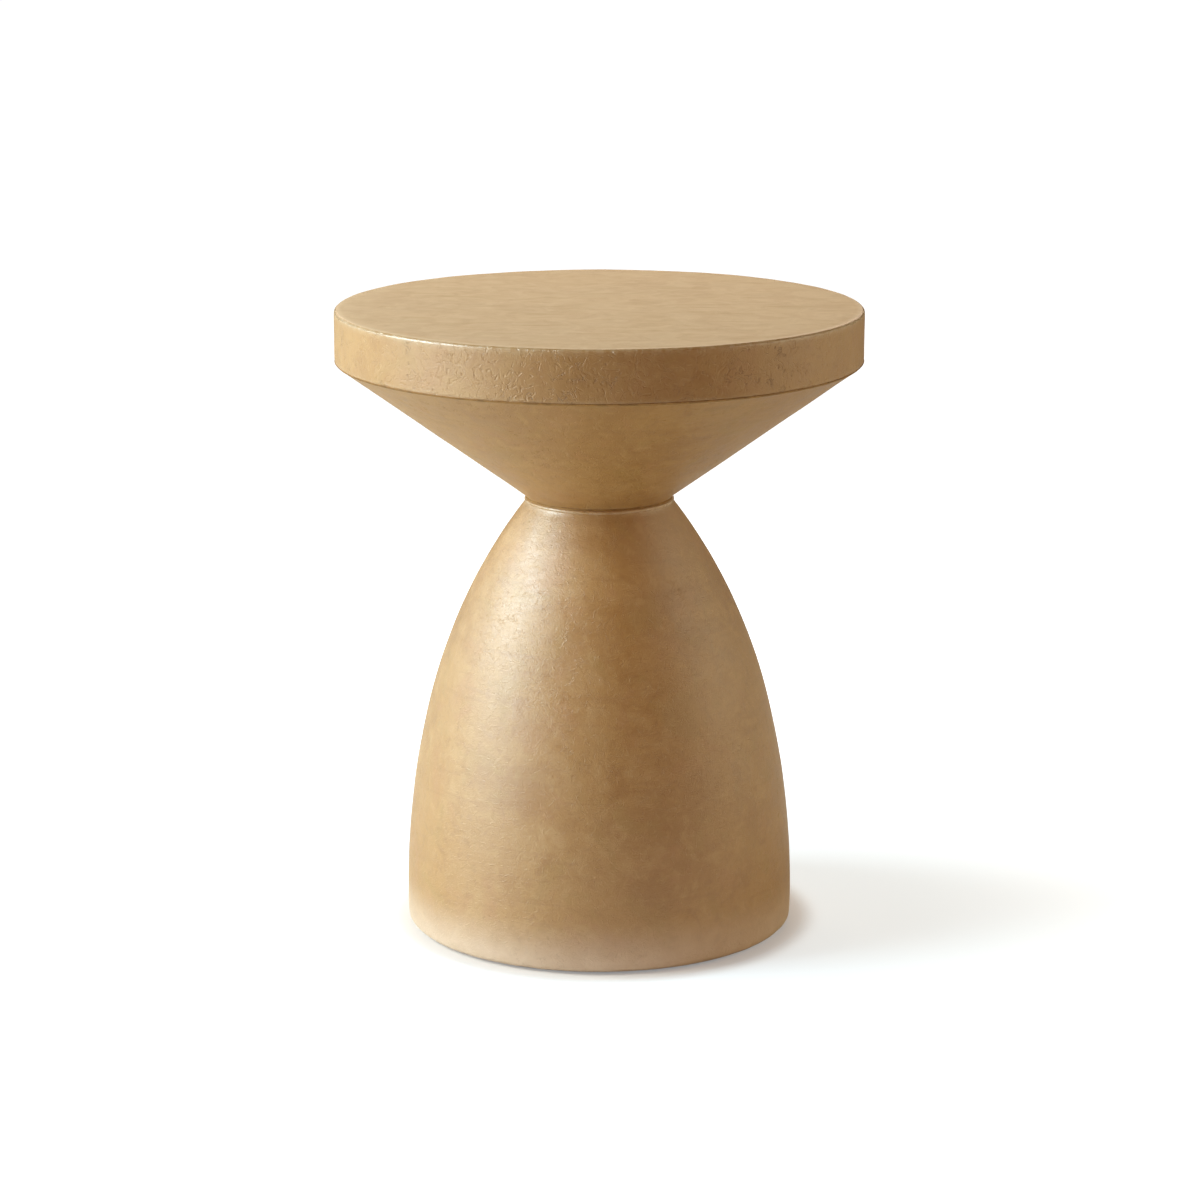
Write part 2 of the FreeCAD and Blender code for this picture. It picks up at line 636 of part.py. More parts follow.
def hexagon_nut(label, foot, height):
    """Hexagon nut on the rod, with both rims of its corners turned off."""
    body = new_body(label)
    raise_hexagon(body, f"{label}_block", foot, "tie_nut_width", height)
    corner = "(tie_nut_width / sqrt(3))"
    flat = "(tie_nut_width / 2)"
    for end, edge, inward in (("low", foot, "+"), ("high", f"({foot} + {height})", "-")):
        sketch = new_sketch(body, f"{label}_{end}_rim")
        draw_polygon(sketch, [
            (flat, edge),
            (f"({corner} + nut_chamfer)", edge),
            (f"({corner} + nut_chamfer)", f"({edge} {inward} nut_chamfer)"),
        ])
        groove = body.newObject("PartDesign::Groove", f"{label}_{end}_groove")
        groove.Profile = sketch
        groove.ReferenceAxis = (sketch, ["V_Axis"])
        groove.Angle = 360
        doc.recompute()
    drill(body, f"{label}_bore", f"({foot} + {height})", height, ROD_THREAD)
    return body


def tie_rod():
    """Threaded rod on the axis, from the anchor down through the crown."""
    radius, tip = "(rod_diameter / 2)", "(rod_diameter / 2 - end_chamfer)"
    return turned("tie_rod", [
        ("0", ROD_FOOT),
        (tip, ROD_FOOT),
        (radius, f"({ROD_FOOT} + end_chamfer)"),
        (radius, f"({ROD_TOP} - end_chamfer)"),
        (tip, ROD_TOP),
        ("0", ROD_TOP),
    ])


def crown_plate():
    """Steel plate that spreads the clamping force under the crown."""
    edge = "(crown_plate_diameter / 2)"
    return turned("crown_plate", [
        (ROD_THREAD, CROWN_PLATE_FOOT),
        (f"({edge} - plate_chamfer)", CROWN_PLATE_FOOT),
        (edge, f"({CROWN_PLATE_FOOT} + plate_chamfer)"),
        (edge, CROWN_PAD_FOOT),
        (ROD_THREAD, CROWN_PAD_FOOT),
    ])


def spring_washer():
    """Split ring between the flat washer and the nut."""
    outside = "(spring_washer_diameter / 2)"
    return turned("tie_spring_washer", [
        (ROD_THREAD, SPRING_WASHER_FOOT),
        (outside, SPRING_WASHER_FOOT),
        (outside, TIE_WASHER_FOOT),
        (ROD_THREAD, TIE_WASHER_FOOT),
    ], arc="spring_washer_angle")


def leveller_sockets():
    """Threaded sockets cast into the foot ring, closed at the top."""
    bore, roof = "(stem_diameter / 2 + thread_clearance)", f"({SOCKET_TOP} - insert_cap)"
    body = turned_ring("leveller_sockets", [
        (bore, SOCKET_FOOT),
        ("(socket_diameter / 2)", SOCKET_FOOT),
        ("(socket_diameter / 2)", SOCKET_TOP),
        ("0", SOCKET_TOP),
        ("0", roof),
        (bore, roof),
    ], LEVELLER_CIRCLE, "leveller_count")
    body.setExpression("Placement.Rotation.Angle", cells("leveller_first_angle * 1 deg"))
    doc.recompute()
    return body


def leveller_pad(number):
    """Swivelling foot with a recess below that keeps the stem's flange."""
    recess = "(stem_flange_diameter / 2 + swivel_clearance)"
    neck = "(stem_diameter / 2 + swivel_clearance)"
    roof = f"({FLANGE_TOP} + swivel_clearance)"
    edge = "(pad_diameter / 2)"
    return turned(f"leveller_pad_{number}", [
        (recess, "felt_thickness"),
        (edge, "felt_thickness"),
        (edge, f"({PAD_TOP} - pad_edge)"),
        (f"({edge} - pad_edge)", PAD_TOP),
        (neck, PAD_TOP),
        (neck, roof),
        (recess, roof),
    ])


def leveller_felt(number):
    """Felt disc glued under the foot."""
    return turned(f"leveller_felt_{number}", [
        ("0", "0"),
        ("(felt_diameter / 2)", "0"),
        ("(felt_diameter / 2)", "felt_thickness"),
        ("0", "felt_thickness"),
    ])


def leveller_stem(number):
    """Threaded stem with a flange that keeps the foot and a collar for a spanner."""
    label = f"leveller_stem_{number}"
    shank, flange = "(stem_diameter / 2)", "(stem_flange_diameter / 2)"
    body = turned(label, [
        ("0", FLANGE_FOOT),
        (flange, FLANGE_FOOT),
        (flange, FLANGE_TOP),
        (shank, FLANGE_TOP),
        (shank, f"({STEM_TOP} - end_chamfer)"),
        (f"({shank} - end_chamfer)", STEM_TOP),
        ("0", STEM_TOP),
    ])
    raise_hexagon(body, f"{label}_collar", COLLAR_FOOT, "collar_width", "collar_height")
    return body


def levellers():
    """The levellers' pieces, each with its number, at their places under the foot ring."""
    pieces = []
    total = count("leveller_count")
    for number in range(1, total + 1):
        angle = f"(leveller_first_angle + {number - 1} * 360 / leveller_count)"
        across, along = at_angle(LEVELLER_CIRCLE, angle)
        for make in (leveller_pad, leveller_felt, leveller_stem):
            piece = make(number)
            place(piece, across, along)
            pieces.append((piece, 1))
    return pieces


def all_pieces():
    """Every piece of the table with the number of solids that it holds."""
    return [
        (tabletop(), 1),
        (bedding_ring(), 1),
        (upper_cone(), 1),
        (neck_gasket(), 1),
        (base_shell(), 1),
        (crown_plug(), 1),
        (foot_ring(), 1),
        (locating_pins(), count("pin_count")),
        (anchor_inserts(), count("anchor_screw_count")),
        (anchor_plate(), 1),
        (anchor_screws(), count("anchor_screw_count")),
        (hexagon_nut("anchor_nut", ANCHOR_NUT_FOOT, ANCHOR_NUT_HEIGHT), 1),
        (tie_rod(), 1),
        (flat_ring("crown_pad", ROD_BORE, "(crown_plate_diameter / 2 + crown_pad_margin)",
                   CROWN_PAD_FOOT, CROWN_FOOT), 1),
        (crown_plate(), 1),
        (flat_ring("tie_washer", ROD_THREAD, "(tie_washer_diameter / 2)",
                   TIE_WASHER_FOOT, CROWN_PLATE_FOOT), 1),
        (spring_washer(), 1),
        (hexagon_nut("tie_nut", TIE_NUT_FOOT, "tie_nut_height"), 1),
        (leveller_sockets(), count("leveller_count")),
    ] + levellers()


def check(pieces):
    """Stop if any object failed, or a piece is empty, broken or has the wrong solids."""
    doc.recompute()
    for item in doc.Objects:
        if {"Invalid", "Error"} & set(item.State):
            raise RuntimeError(f"{item.Name} failed: {item.State}")
    for body, solids in pieces:
        shape = body.Shape
        if shape.isNull() or not shape.isValid():
            raise RuntimeError(f"{body.Label} has no valid shape")
        if len(shape.Solids) != solids:
            raise RuntimeError(f"{body.Label} has {len(shape.Solids)} solids, not {solids}")


def write(pieces):
    os.makedirs("parts", exist_ok=True)
    for body, solids in pieces:
        body.Shape.exportStep(f"parts/{body.Label}.step")


table = all_pieces()
check(table)
write(table)
for body, solids in table:
    box = body.Shape.BoundBox
    print(f"{body.Label}: {body.Shape.Volume / 1000:.2f} cm3, height {box.ZMin:.2f} to {box.ZMax:.2f}")
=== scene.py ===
"""Hourglass side table: its castings, the finish of its fittings and a plain studio."""
import math

import bpy
import numpy as np
from bpy.props import FloatProperty, FloatVectorProperty, IntProperty, PointerProperty
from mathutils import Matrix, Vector


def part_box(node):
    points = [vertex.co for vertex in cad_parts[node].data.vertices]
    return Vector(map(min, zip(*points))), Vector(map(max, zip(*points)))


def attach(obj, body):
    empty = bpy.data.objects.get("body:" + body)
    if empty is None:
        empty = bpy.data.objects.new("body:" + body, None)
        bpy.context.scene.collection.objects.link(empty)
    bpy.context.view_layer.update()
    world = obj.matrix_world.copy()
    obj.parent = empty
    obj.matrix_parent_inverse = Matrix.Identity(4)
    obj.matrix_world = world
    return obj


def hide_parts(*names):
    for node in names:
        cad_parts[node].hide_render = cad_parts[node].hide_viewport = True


bl_info = {
    "name": "Hourglass Side Table",
    "version": (1, 0, 0),
    "blender": (4, 5, 0),
    "location": "View3D > Sidebar > Side Table",
    "description": "Models the castings of a round side table and sets their finish and a studio",
    "category": "Object",
}

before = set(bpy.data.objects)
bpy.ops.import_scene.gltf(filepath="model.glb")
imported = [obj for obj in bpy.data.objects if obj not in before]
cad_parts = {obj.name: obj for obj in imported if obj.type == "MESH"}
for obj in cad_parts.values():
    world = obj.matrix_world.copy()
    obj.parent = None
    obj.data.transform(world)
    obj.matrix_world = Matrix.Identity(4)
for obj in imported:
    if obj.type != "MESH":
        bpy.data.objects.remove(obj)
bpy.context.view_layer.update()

TABLE = "table"
MERGE_DISTANCE = 1e-6
SEED_SIZE = 0.002
WEIGHT_LEVELS = 100
SMOOTH_ANGLE = math.radians(32)
# Adhesive and packing: room at their inner edge, width of the smear, and its uneven face
SMEAR_SETBACK = 0.001
SMEAR_WIDTH = 0.003
SMEAR_GRAIN = 0.012
SMEAR_DEPTH = 0.0002
# Radii of the rows of faces on the top face
TOP_RINGS = (0.0, 0.03, 0.08, 0.13, 0.17, 0.195, 0.21, 0.219)
LEVELLER_NUMBERS = range(1, 5)

# A noise mostly lies in this span, and its colour has this mean
NOISE_SPAN = (0.3, 0.7)
NOISE_MEAN = (0.5, 0.5, 0.5)

FLOOR_SIZE = 60
SENSOR_WIDTH = 36
LAMP_TARGET = Vector((0, 0, 0.33))
# Name, place, width and height, and the properties with its power and colour
LAMPS = (
    ("key_softbox", (-2.7, -0.25, 2.0), (1.9, 1.6), "key_power", "key_colour"),
    ("low_card", (-1.5, -0.6, 0.40), (1.2, 0.7), "low_power", "key_colour"),
    ("lit_backdrop", (0.0, 1.5, 1.3), (1.8, 1.2), "back_power", "back_colour"),
    ("right_wall", (1.75, -0.12, 0.9), (1.6, 1.7), "right_power", "right_colour"),
    ("left_card", (-1.6, 1.2, 0.7), (1.2, 1.2), "left_card_power", "key_colour"),
    ("right_card", (1.6, 1.2, 0.7), (1.2, 1.2), "right_card_power", "right_colour"),
)


def length(name, description, default):
    """A size in metres that a user may change."""
    return FloatProperty(name=name, description=description, default=default, min=0, unit="LENGTH")


def share(name, description, default):
    """A factor from 0 to 1 that a user may change."""
    return FloatProperty(name=name, description=description, default=default, min=0, max=1,
                         subtype="FACTOR")


def tint(name, description, default):
    """A linear colour that a user may change."""
    return FloatVectorProperty(name=name, description=description, default=default, size=3,
                               min=0, max=1, subtype="COLOR")


def power(name, description, default):
    """A lamp's power in watts."""
    return FloatProperty(name=name, description=description, default=default, min=0, unit="POWER")


def count(name, description, default):
    """A number of faces."""
    return IntProperty(name=name, description=description, default=default, min=3)


class CastingSizes(bpy.types.PropertyGroup):
    """Sizes of the castings beyond those that the frame's boxes give"""
    top_edge_radius: length("Top edge radius", "Rounding of the arris round the top face", 0.0035)
    rim_edge_radius: length("Rim edge radius", "Rounding of the lower arris of the rim", 0.001)
    rim_thickness: length("Rim thickness", "Wall of the downturned rim", 0.016)
    slab_thickness: length("Slab thickness", "Thickness of the disc", 0.016)
    boss_radius: length("Boss radius", "Radius of the boss under the disc", 0.066)
    cone_foot_radius: length("Cone foot radius", "Radius of the cone's foot at the neck", 0.0635)
    cone_edge: length("Cone edge", "How far the cone's edges are set in", 0.0006)
    cone_edge_rise: length("Cone edge rise", "Height of the cone's edges", 0.0005)
    cone_lip: length("Cone lip", "How far the cone's upper face is set in", 0.001)
    cone_foot_land: length("Cone foot land", "Flat ring inside the edge of the cone's foot", 0.004)
    cone_skin: length("Cone skin", "Wall of the cone, measured level", 0.024)
    cone_floor: length("Cone floor", "Thickness of the cone's floor", 0.03216)
    tongue_gap: length("Tongue gap", "Room between the cone's tongue and the rim", 0.001)
    tongue_thickness: length("Tongue thickness", "Wall of the cone's tongue", 0.006)
    spigot_radius: length("Spigot radius", "Radius of the spigot under the cone", 0.02882)
    rod_room: length("Rod room", "Room round the tie rod in its bores", 0.001)
    widest_height: length("Widest height", "Height at which the base stands upright", 0.026)
    flank_drop: length("Flank drop", "How far the flank leans in below the shoulder", 0.0211)
    flank_height: length("Flank height", "Height at which the shoulder's arc begins", 0.200025)
    neck_radius: length("Neck radius", "Radius at the outside of the neck's bead", 0.0655)
    bead_radius: length("Bead radius", "Radius of the bead's section", 0.0017)
    bead_height: length("Bead height", "Height of the bead", 0.0031)
    base_wall: length("Base wall", "Wall of the base", 0.010)
    foot_edge_radius: length("Foot edge radius", "Rounding of the base's lower edge", 0.004)
    rim_row: length("Rim row", "Height of a row of faces on the rim", 0.0013)
    wall_row: length("Wall row", "Height of a row of faces on the cone and the base", 0.0026)
    rim_steps: count("Rim steps", "Faces round the tabletop", 960)
    wall_steps: count("Wall steps", "Faces round the cone and the base", 480)


class ConcreteLooks(bpy.types.PropertyGroup):
    """Colours and surface of the waxed, tinted concrete"""
    body: tint("Body", "Main colour of the concrete", (0.505, 0.268, 0.078))
    brown: tint("Brown", "Darker clouds in the concrete", (0.425, 0.208, 0.054))
    pale: tint("Pale", "Paler clouds in the concrete", (0.560, 0.322, 0.112))
    rose: tint("Rose", "Reddish clouds in the concrete", (0.500, 0.248, 0.080))
    olive: tint("Olive", "Greenish clouds in the concrete", (0.460, 0.256, 0.066))
    pit: tint("Pit", "Dirt in the pits", (0.270, 0.128, 0.038))
    worn: tint("Worn", "Rubbed arrises", (0.620, 0.420, 0.225))
    # Painted sheen: a paler colour for the top face that stands in for the reflection of the bright
    # room in its wax
    painted_top_sheen: tint("Faded", "Faded, rubbed top face", (0.830, 0.620, 0.405))
    # Painted light: a paler colour low on the base that stands in for light thrown up by the white
    # floor, and how high it reaches
    painted_floor_light: tint("Bloom", "Pale bloom at the foot", (0.860, 0.665, 0.500))
    painted_floor_light_height: length("Bloom height", "How far the bloom rises from the floor", 0.052)
    roughness: share("Roughness", "Mean roughness of the waxed face", 0.55)
    wax: share("Wax", "Weight of the wax coat", 1.0)
    wax_roughness: share("Wax roughness", "Roughness of the wax coat", 0.47)
    wax_index: FloatProperty(name="Wax index", description="Refractive index of the wax coat",
                             default=1.85, min=1, max=2.5)
    top_wax: share("Top wax", "Share of the wax left on the top face", 0.22)
    top_matting: share("Top matting", "Roughness that the top face has gained", 0.30)
    arris_polish: share("Arris polish", "Roughness that the rubbed arrises have lost", 0.25)
    pit_depth: length("Pit depth", "Depth of the pits", 0.00020)
    dent_depth: length("Dent depth", "Depth of the small irregular dents", 0.00017)
    crinkle_depth: length("Crinkle depth", "Depth of the fine crinkles", 0.00015)
    crease_depth: length("Crease depth", "Depth of the sharper creases", 0.000045)
    fibre_height: length("Fibre height", "Height of the short fibres in the skin", 0.00011)
    grain_depth: length("Grain depth", "Depth of the fine grain", 0.00006)
    wave_depth: length("Wave depth", "Depth of the uneven face left by the mould", 0.0007)
    lump_depth: length("Lump depth", "Depth of the small lumps in the face", 0.00015)
    chip_depth: length("Chip depth", "Depth of the chips along the arrises", 0.0012)


class FittingLooks(bpy.types.PropertyGroup):
    """Colours of the joints, the clamp and the levellers"""
    adhesive: tint("Adhesive", "Bed between the rim and the cone", (0.430, 0.225, 0.068))
    packing: tint("Packing", "Tinted packing at the neck", (0.450, 0.238, 0.070))
    rubber: tint("Rubber", "Pad under the crown", (0.022, 0.020, 0.018))
    zinc: tint("Zinc", "Zinc-plated steel", (0.600, 0.600, 0.585))
    brass: tint("Brass", "Threaded inserts", (0.560, 0.390, 0.130))
    nylon: tint("Nylon", "Feet of the levellers", (0.020, 0.020, 0.021))
    felt: tint("Felt", "Discs under the feet", (0.110, 0.088, 0.066))


class StudioLooks(bpy.types.PropertyGroup):
    """Camera, lamps and floor"""
    camera_side: length("Camera side", "Distance of the camera to the right of the axis", 0.0006)
    camera_distance: length("Camera distance", "Distance of the camera in front of the axis", 3.000)
    camera_height: length("Camera height", "Height of the camera above the floor", 1.006)
    camera_tilt: FloatProperty(name="Camera tilt", default=0.235, subtype="ANGLE",
                               description="Tilt of the camera below the horizon")
    focal_length: FloatProperty(name="Focal length", description="Focal length on a 36 mm sensor",
                                default=105.43, unit="CAMERA")
    key_power: power("Key power", "Softbox at the left", 125)
    low_power: power("Low power", "Low card at the left", 9.4)
    back_power: power("Back power", "Lit backdrop behind the table", 12.2)
    right_power: power("Right power", "Wall at the right", 10.6)
    left_card_power: power("Left card power", "White card behind the table at the left", 4.6)
    right_card_power: power("Right card power", "White card behind the table at the right", 1.9)
    key_colour: tint("Key colour", "Cool colour of the softbox", (0.79, 0.955, 1.0))
    back_colour: tint("Back colour", "Warm colour of the backdrop", (1.0, 0.80, 0.585))
    right_colour: tint("Right colour", "Colour of the wall at the right", (1.0, 0.98, 0.72))
    room_front: tint("Room front", "Dim room behind the camera", (0.225, 0.095, 0.041))
    floor_colour: tint("Floor colour", "Colour of the floor", (0.74, 0.70, 0.64))
    seen_floor_colour: tint("Seen floor colour", "Colour of the floor for the camera",
                            (0.67, 0.70, 0.755))
    # Painted contact shadow: for the camera, the floor close to the base is warmer, darker and
    # glows less
    painted_contact_shadow_colour: tint("Contact colour", "Colour of the floor close to the base, for the camera",
                         (0.72, 0.64, 0.58))
    painted_contact_shadow_reach: length("Contact reach", "Width of the dark floor close to the base", 0.034)
    painted_contact_shadow_glow: share("Contact glow", "Share of the glow left at the base", 0.42)
    glow_colour: tint("Glow colour", "Colour that the camera sees in the floor by the table",
                      (0.875, 0.95, 0.99))
    near_glow: share("Near glow", "Brightness that the camera sees in the floor by the table", 0.62)
    far_glow: share("Far glow", "Brightness that the camera sees in the far floor", 1.0)
    near_reach: length("Near reach", "Radius at which the floor begins to brighten", 0.25)
    far_reach: length("Far reach", "Radius at which the floor is at its brightest", 0.75)


# Modelling helpers

def deselect_everything():
    """Leave edit mode and select nothing."""
    if bpy.context.mode != "OBJECT":
        bpy.ops.object.mode_set(mode="OBJECT")
    bpy.ops.object.select_all(action="DESELECT")


def select_only(piece):
    """Select one piece and make it the active one."""
    deselect_everything()
    piece.select_set(True)
    bpy.context.view_layer.objects.active = piece


def arc(across, up, radius, first, last, steps):
    """Points on an arc about a centre, with angles in radians from the outward direction."""
    angles = [first + (last - first) * step / steps for step in range(steps + 1)]
    return [(across + radius * math.cos(angle), up + radius * math.sin(angle)) for angle in angles]


def run(first, last, row):
    """Points on a straight run, with a point about every row, without its first point."""
    steps = max(1, round(math.dist(first, last) / row))
    return [tuple(a + (b - a) * step / steps for a, b in zip(first, last))
            for step in range(1, steps + 1)]


def apply_modifier(piece, modifier):
    """Apply a modifier to the mesh of a piece, which stays the only one selected."""
    select_only(piece)
    bpy.ops.object.modifier_apply(modifier=modifier.name)


def turn_section(name, points, steps):
    """Draw a section from one vertex by extrusion and turn it about the table's axis."""
    deselect_everything()
    bpy.ops.mesh.primitive_plane_add(size=SEED_SIZE, location=(0, 0, 0))
    piece = bpy.context.active_object
    piece.name = name
    piece.data.name = name
    bpy.ops.object.mode_set(mode="EDIT")
    bpy.ops.mesh.select_all(action="SELECT")
    bpy.ops.mesh.merge(type="CENTER")
    across, up = points[0]
    bpy.ops.transform.translate(value=(across, 0, up))
    for before, after in zip(points, points[1:]):
        step = (after[0] - before[0], 0, after[1] - before[1])
        bpy.ops.mesh.extrude_vertices_move(TRANSFORM_OT_translate={"value": step})
    bpy.ops.object.mode_set(mode="OBJECT")
    bpy.ops.object.transform_apply(location=True, rotation=True, scale=True)
    turn = piece.modifiers.new("turn", "SCREW")
    turn.axis = "Z"
    turn.angle = math.tau
    turn.steps = turn.render_steps = steps
    turn.use_merge_vertices = True
    turn.merge_threshold = MERGE_DISTANCE
    apply_modifier(piece, turn)
    bpy.ops.object.mode_set(mode="EDIT")
    bpy.ops.mesh.select_all(action="SELECT")
    bpy.ops.mesh.remove_doubles(threshold=MERGE_DISTANCE)
    bpy.ops.mesh.normals_make_consistent(inside=False)
    bpy.ops.object.mode_set(mode="OBJECT")
    return piece


def section_places(piece):
    """Each vertex's distance from the axis and its height."""
    places = np.empty(len(piece.data.vertices) * 3)
    piece.data.vertices.foreach_get("co", places)
    places = places.reshape(-1, 3)
    return np.hypot(places[:, 0], places[:, 1]), places[:, 2]


def weigh(piece, name, weights):
    """A vertex group with a weight for each vertex."""
    group = piece.vertex_groups.new(name=name)
    levels = np.round(weights * WEIGHT_LEVELS).astype(int)
    for level in np.unique(levels[levels > 0]):
        group.add(np.flatnonzero(levels == level).tolist(), level / WEIGHT_LEVELS, "REPLACE")


def closeness(across, up, points, reach):
    """Weights that fade with the distance from points of the section."""
    nearest = np.min([np.hypot(across - a, up - b) for a, b in points], axis=0)
    return np.exp(-(nearest / reach) ** 2)


def wear_down(piece, name, grain, depth, group, detail=2):
    """Push the weighted face inwards by a cloudy pattern, at most by the depth."""
    pattern = bpy.data.textures.new(f"{piece.name}_{name}", "CLOUDS")
    pattern.noise_scale = grain
    pattern.noise_depth = detail
    modifier = piece.modifiers.new(name, "DISPLACE")
    modifier.texture = pattern
    modifier.texture_coords = "LOCAL"
    modifier.direction = "NORMAL"
    modifier.mid_level = 1.0
    modifier.strength = depth
    modifier.vertex_group = group
    apply_modifier(piece, modifier)


def stand_for(piece, node, finish):
    """Smooth the faces of a piece, give it its finish and let it stand for its node."""
    piece.vertex_groups.clear()
    select_only(piece)
    bpy.ops.object.shade_smooth_by_angle(angle=SMOOTH_ANGLE)
    piece.data.materials.append(finish)
    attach(piece, TABLE)
    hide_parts(node)


def finish_casting(piece, node, finish, edge_wear):
    """Mark the rubbed arrises of a casting and let it stand for its node."""
    attribute = piece.data.attributes.new("edge_wear", "FLOAT", "POINT")
    attribute.data.foreach_set("value", edge_wear.astype(np.float32))
    stand_for(piece, node, finish)


# Finish helpers

def wire(tree, kind, inputs=(), **options):
    """Add a node, set its options, and give its sockets values or links."""
    item = tree.nodes.new(kind)
    for option, value in options.items():
        setattr(item, option, value)
    for socket, value in dict(inputs).items():
        if isinstance(value, bpy.types.NodeSocket):
            tree.links.new(value, item.inputs[socket])
        else:
            item.inputs[socket].default_value = value
    return item


def new_finish(name):
    """A material with an empty principled shader."""
    finish = bpy.data.materials.new(name)
    finish.use_nodes = True
    return finish, finish.node_tree, finish.node_tree.nodes["Principled BSDF"]


def object_place(tree, shift=(0, 0, 0), scale=(1, 1, 1)):
    """Object coordinates, moved and stretched."""
    spot = wire(tree, "ShaderNodeTexCoord").outputs["Object"]
    sockets = {"Vector": spot, "Location": shift, "Scale": scale}
    return wire(tree, "ShaderNodeMapping", sockets).outputs[0]


def noise(tree, place, scale, detail=4.0, roughness=0.55, distortion=0.0):
    """A cloudy value at a place, with about scale clouds to a metre."""
    sockets = {"Vector": place, "Scale": scale, "Detail": detail, "Roughness": roughness,
               "Distortion": distortion}
    return wire(tree, "ShaderNodeTexNoise", sockets).outputs[0]


def calc(tree, operation, first, second=0.0):
    """A sum on numbers."""
    return wire(tree, "ShaderNodeMath", {0: first, 1: second}, operation=operation).outputs[0]


def vector_calc(tree, operation, first, second=None, scale=None):
    """A sum on vectors, which gives a number for a dot product or a length."""
    sockets = {0: first}
    if second is not None:
        sockets[1] = second
    if scale is not None:
        sockets["Scale"] = scale
    item = wire(tree, "ShaderNodeVectorMath", sockets, operation=operation)
    return item.outputs["Value" if operation in {"DOT_PRODUCT", "LENGTH"} else "Vector"]


def fade(tree, value, low, high, to_low=0.0, to_high=1.0):
    """A smooth step of a value between two limits."""
    sockets = {"Value": value, "From Min": low, "From Max": high,
               "To Min": to_low, "To Max": to_high}
    return wire(tree, "ShaderNodeMapRange", sockets, interpolation_type="SMOOTHSTEP").outputs[0]


def blend(tree, factor, first, second):
    """Mix two colours; a plain colour is three numbers."""
    item = wire(tree, "ShaderNodeMix", data_type="RGBA")
    for socket, value in ((0, factor), (6, first), (7, second)):
        if isinstance(value, bpy.types.NodeSocket):
            tree.links.new(value, item.inputs[socket])
        elif socket == 0:
            item.inputs[socket].default_value = value
        else:
            item.inputs[socket].default_value = (*value, 1)
    return item.outputs[2]


def bump(tree, height, depth, below=None):
    """Relief of a height from 0 to 1, on top of the relief below."""
    sockets = {"Height": height, "Distance": depth, "Strength": 1.0}
    if below is not None:
        sockets["Normal"] = below
    return wire(tree, "ShaderNodeBump", sockets).outputs[0]


def ragged(tree, place, scale, reach, detail=2.0):
    """A place shaken by a noise, so that round cells turn ragged."""
    sockets = {"Vector": place, "Scale": scale, "Detail": detail}
    shake = wire(tree, "ShaderNodeTexNoise", sockets).outputs[1]
    shake = vector_calc(tree, "SUBTRACT", shake, NOISE_MEAN)
    return vector_calc(tree, "ADD", place, vector_calc(tree, "SCALE", shake, scale=reach))


def short_fibres(tree, place, scale, half_width, half_length, chance):
    """Short strokes that lie in the face, each with its own direction."""
    bent = ragged(tree, place, 0.9 * scale, 1.3 / scale, 1.0)
    cells = wire(tree, "ShaderNodeTexVoronoi", {"Vector": bent, "Scale": scale})
    facing = wire(tree, "ShaderNodeTexCoord").outputs["Normal"]
    lean = vector_calc(tree, "SUBTRACT", cells.outputs["Color"], NOISE_MEAN)
    lean = vector_calc(tree, "NORMALIZE", vector_calc(tree, "CROSS_PRODUCT", lean, facing))
    offset = vector_calc(tree, "SUBTRACT", bent, cells.outputs["Position"])
    depth = vector_calc(tree, "DOT_PRODUCT", offset, facing)
    offset = vector_calc(tree, "SUBTRACT", offset, vector_calc(tree, "SCALE", facing, scale=depth))
    along = vector_calc(tree, "DOT_PRODUCT", offset, lean)
    aside = vector_calc(tree, "LENGTH", vector_calc(
        tree, "SUBTRACT", offset, vector_calc(tree, "SCALE", lean, scale=along)))
    stroke = fade(tree, aside, 0.2 * half_width, half_width, 1, 0)
    ends = fade(tree, calc(tree, "ABSOLUTE", along), 0.3 * half_length, half_length, 1, 0)
    picked = wire(tree, "ShaderNodeSeparateColor", {0: cells.outputs["Color"]}).outputs[2]
    picked = calc(tree, "LESS_THAN", picked, chance)
    return calc(tree, "MULTIPLY", calc(tree, "MULTIPLY", stroke, ends), picked)


def pits(tree, place, scale, reach, patch):
    """Ragged holes of mixed size, in patches."""
    shaken = ragged(tree, place, 3 * scale, 0.7 / scale)
    cells = wire(tree, "ShaderNodeTexVoronoi", {"Vector": shaken, "Scale": scale})
    sizes = wire(tree, "ShaderNodeSeparateColor", {0: cells.outputs["Color"]}).outputs[0]
    edge = calc(tree, "MULTIPLY", calc(tree, "MULTIPLY", sizes, sizes), reach)
    hole = fade(tree, calc(tree, "SUBTRACT", cells.outputs["Distance"], edge), -0.10, 0.05, 1, 0)
    return calc(tree, "MULTIPLY", hole, patch)


def cracks(tree, place, scale, width, patch):
    """Short winding cracks, in patches."""
    winding = noise(tree, place, scale, 3, 0.6, 1.6)
    line = calc(tree, "ABSOLUTE", calc(tree, "SUBTRACT", winding, 0.5))
    line = fade(tree, line, 0.2 * width, width, 1, 0)
    ends = fade(tree, noise(tree, place, 0.9 * scale, 2, 0.5), 0.54, 0.62)
    return calc(tree, "MULTIPLY", calc(tree, "MULTIPLY", line, ends), patch)


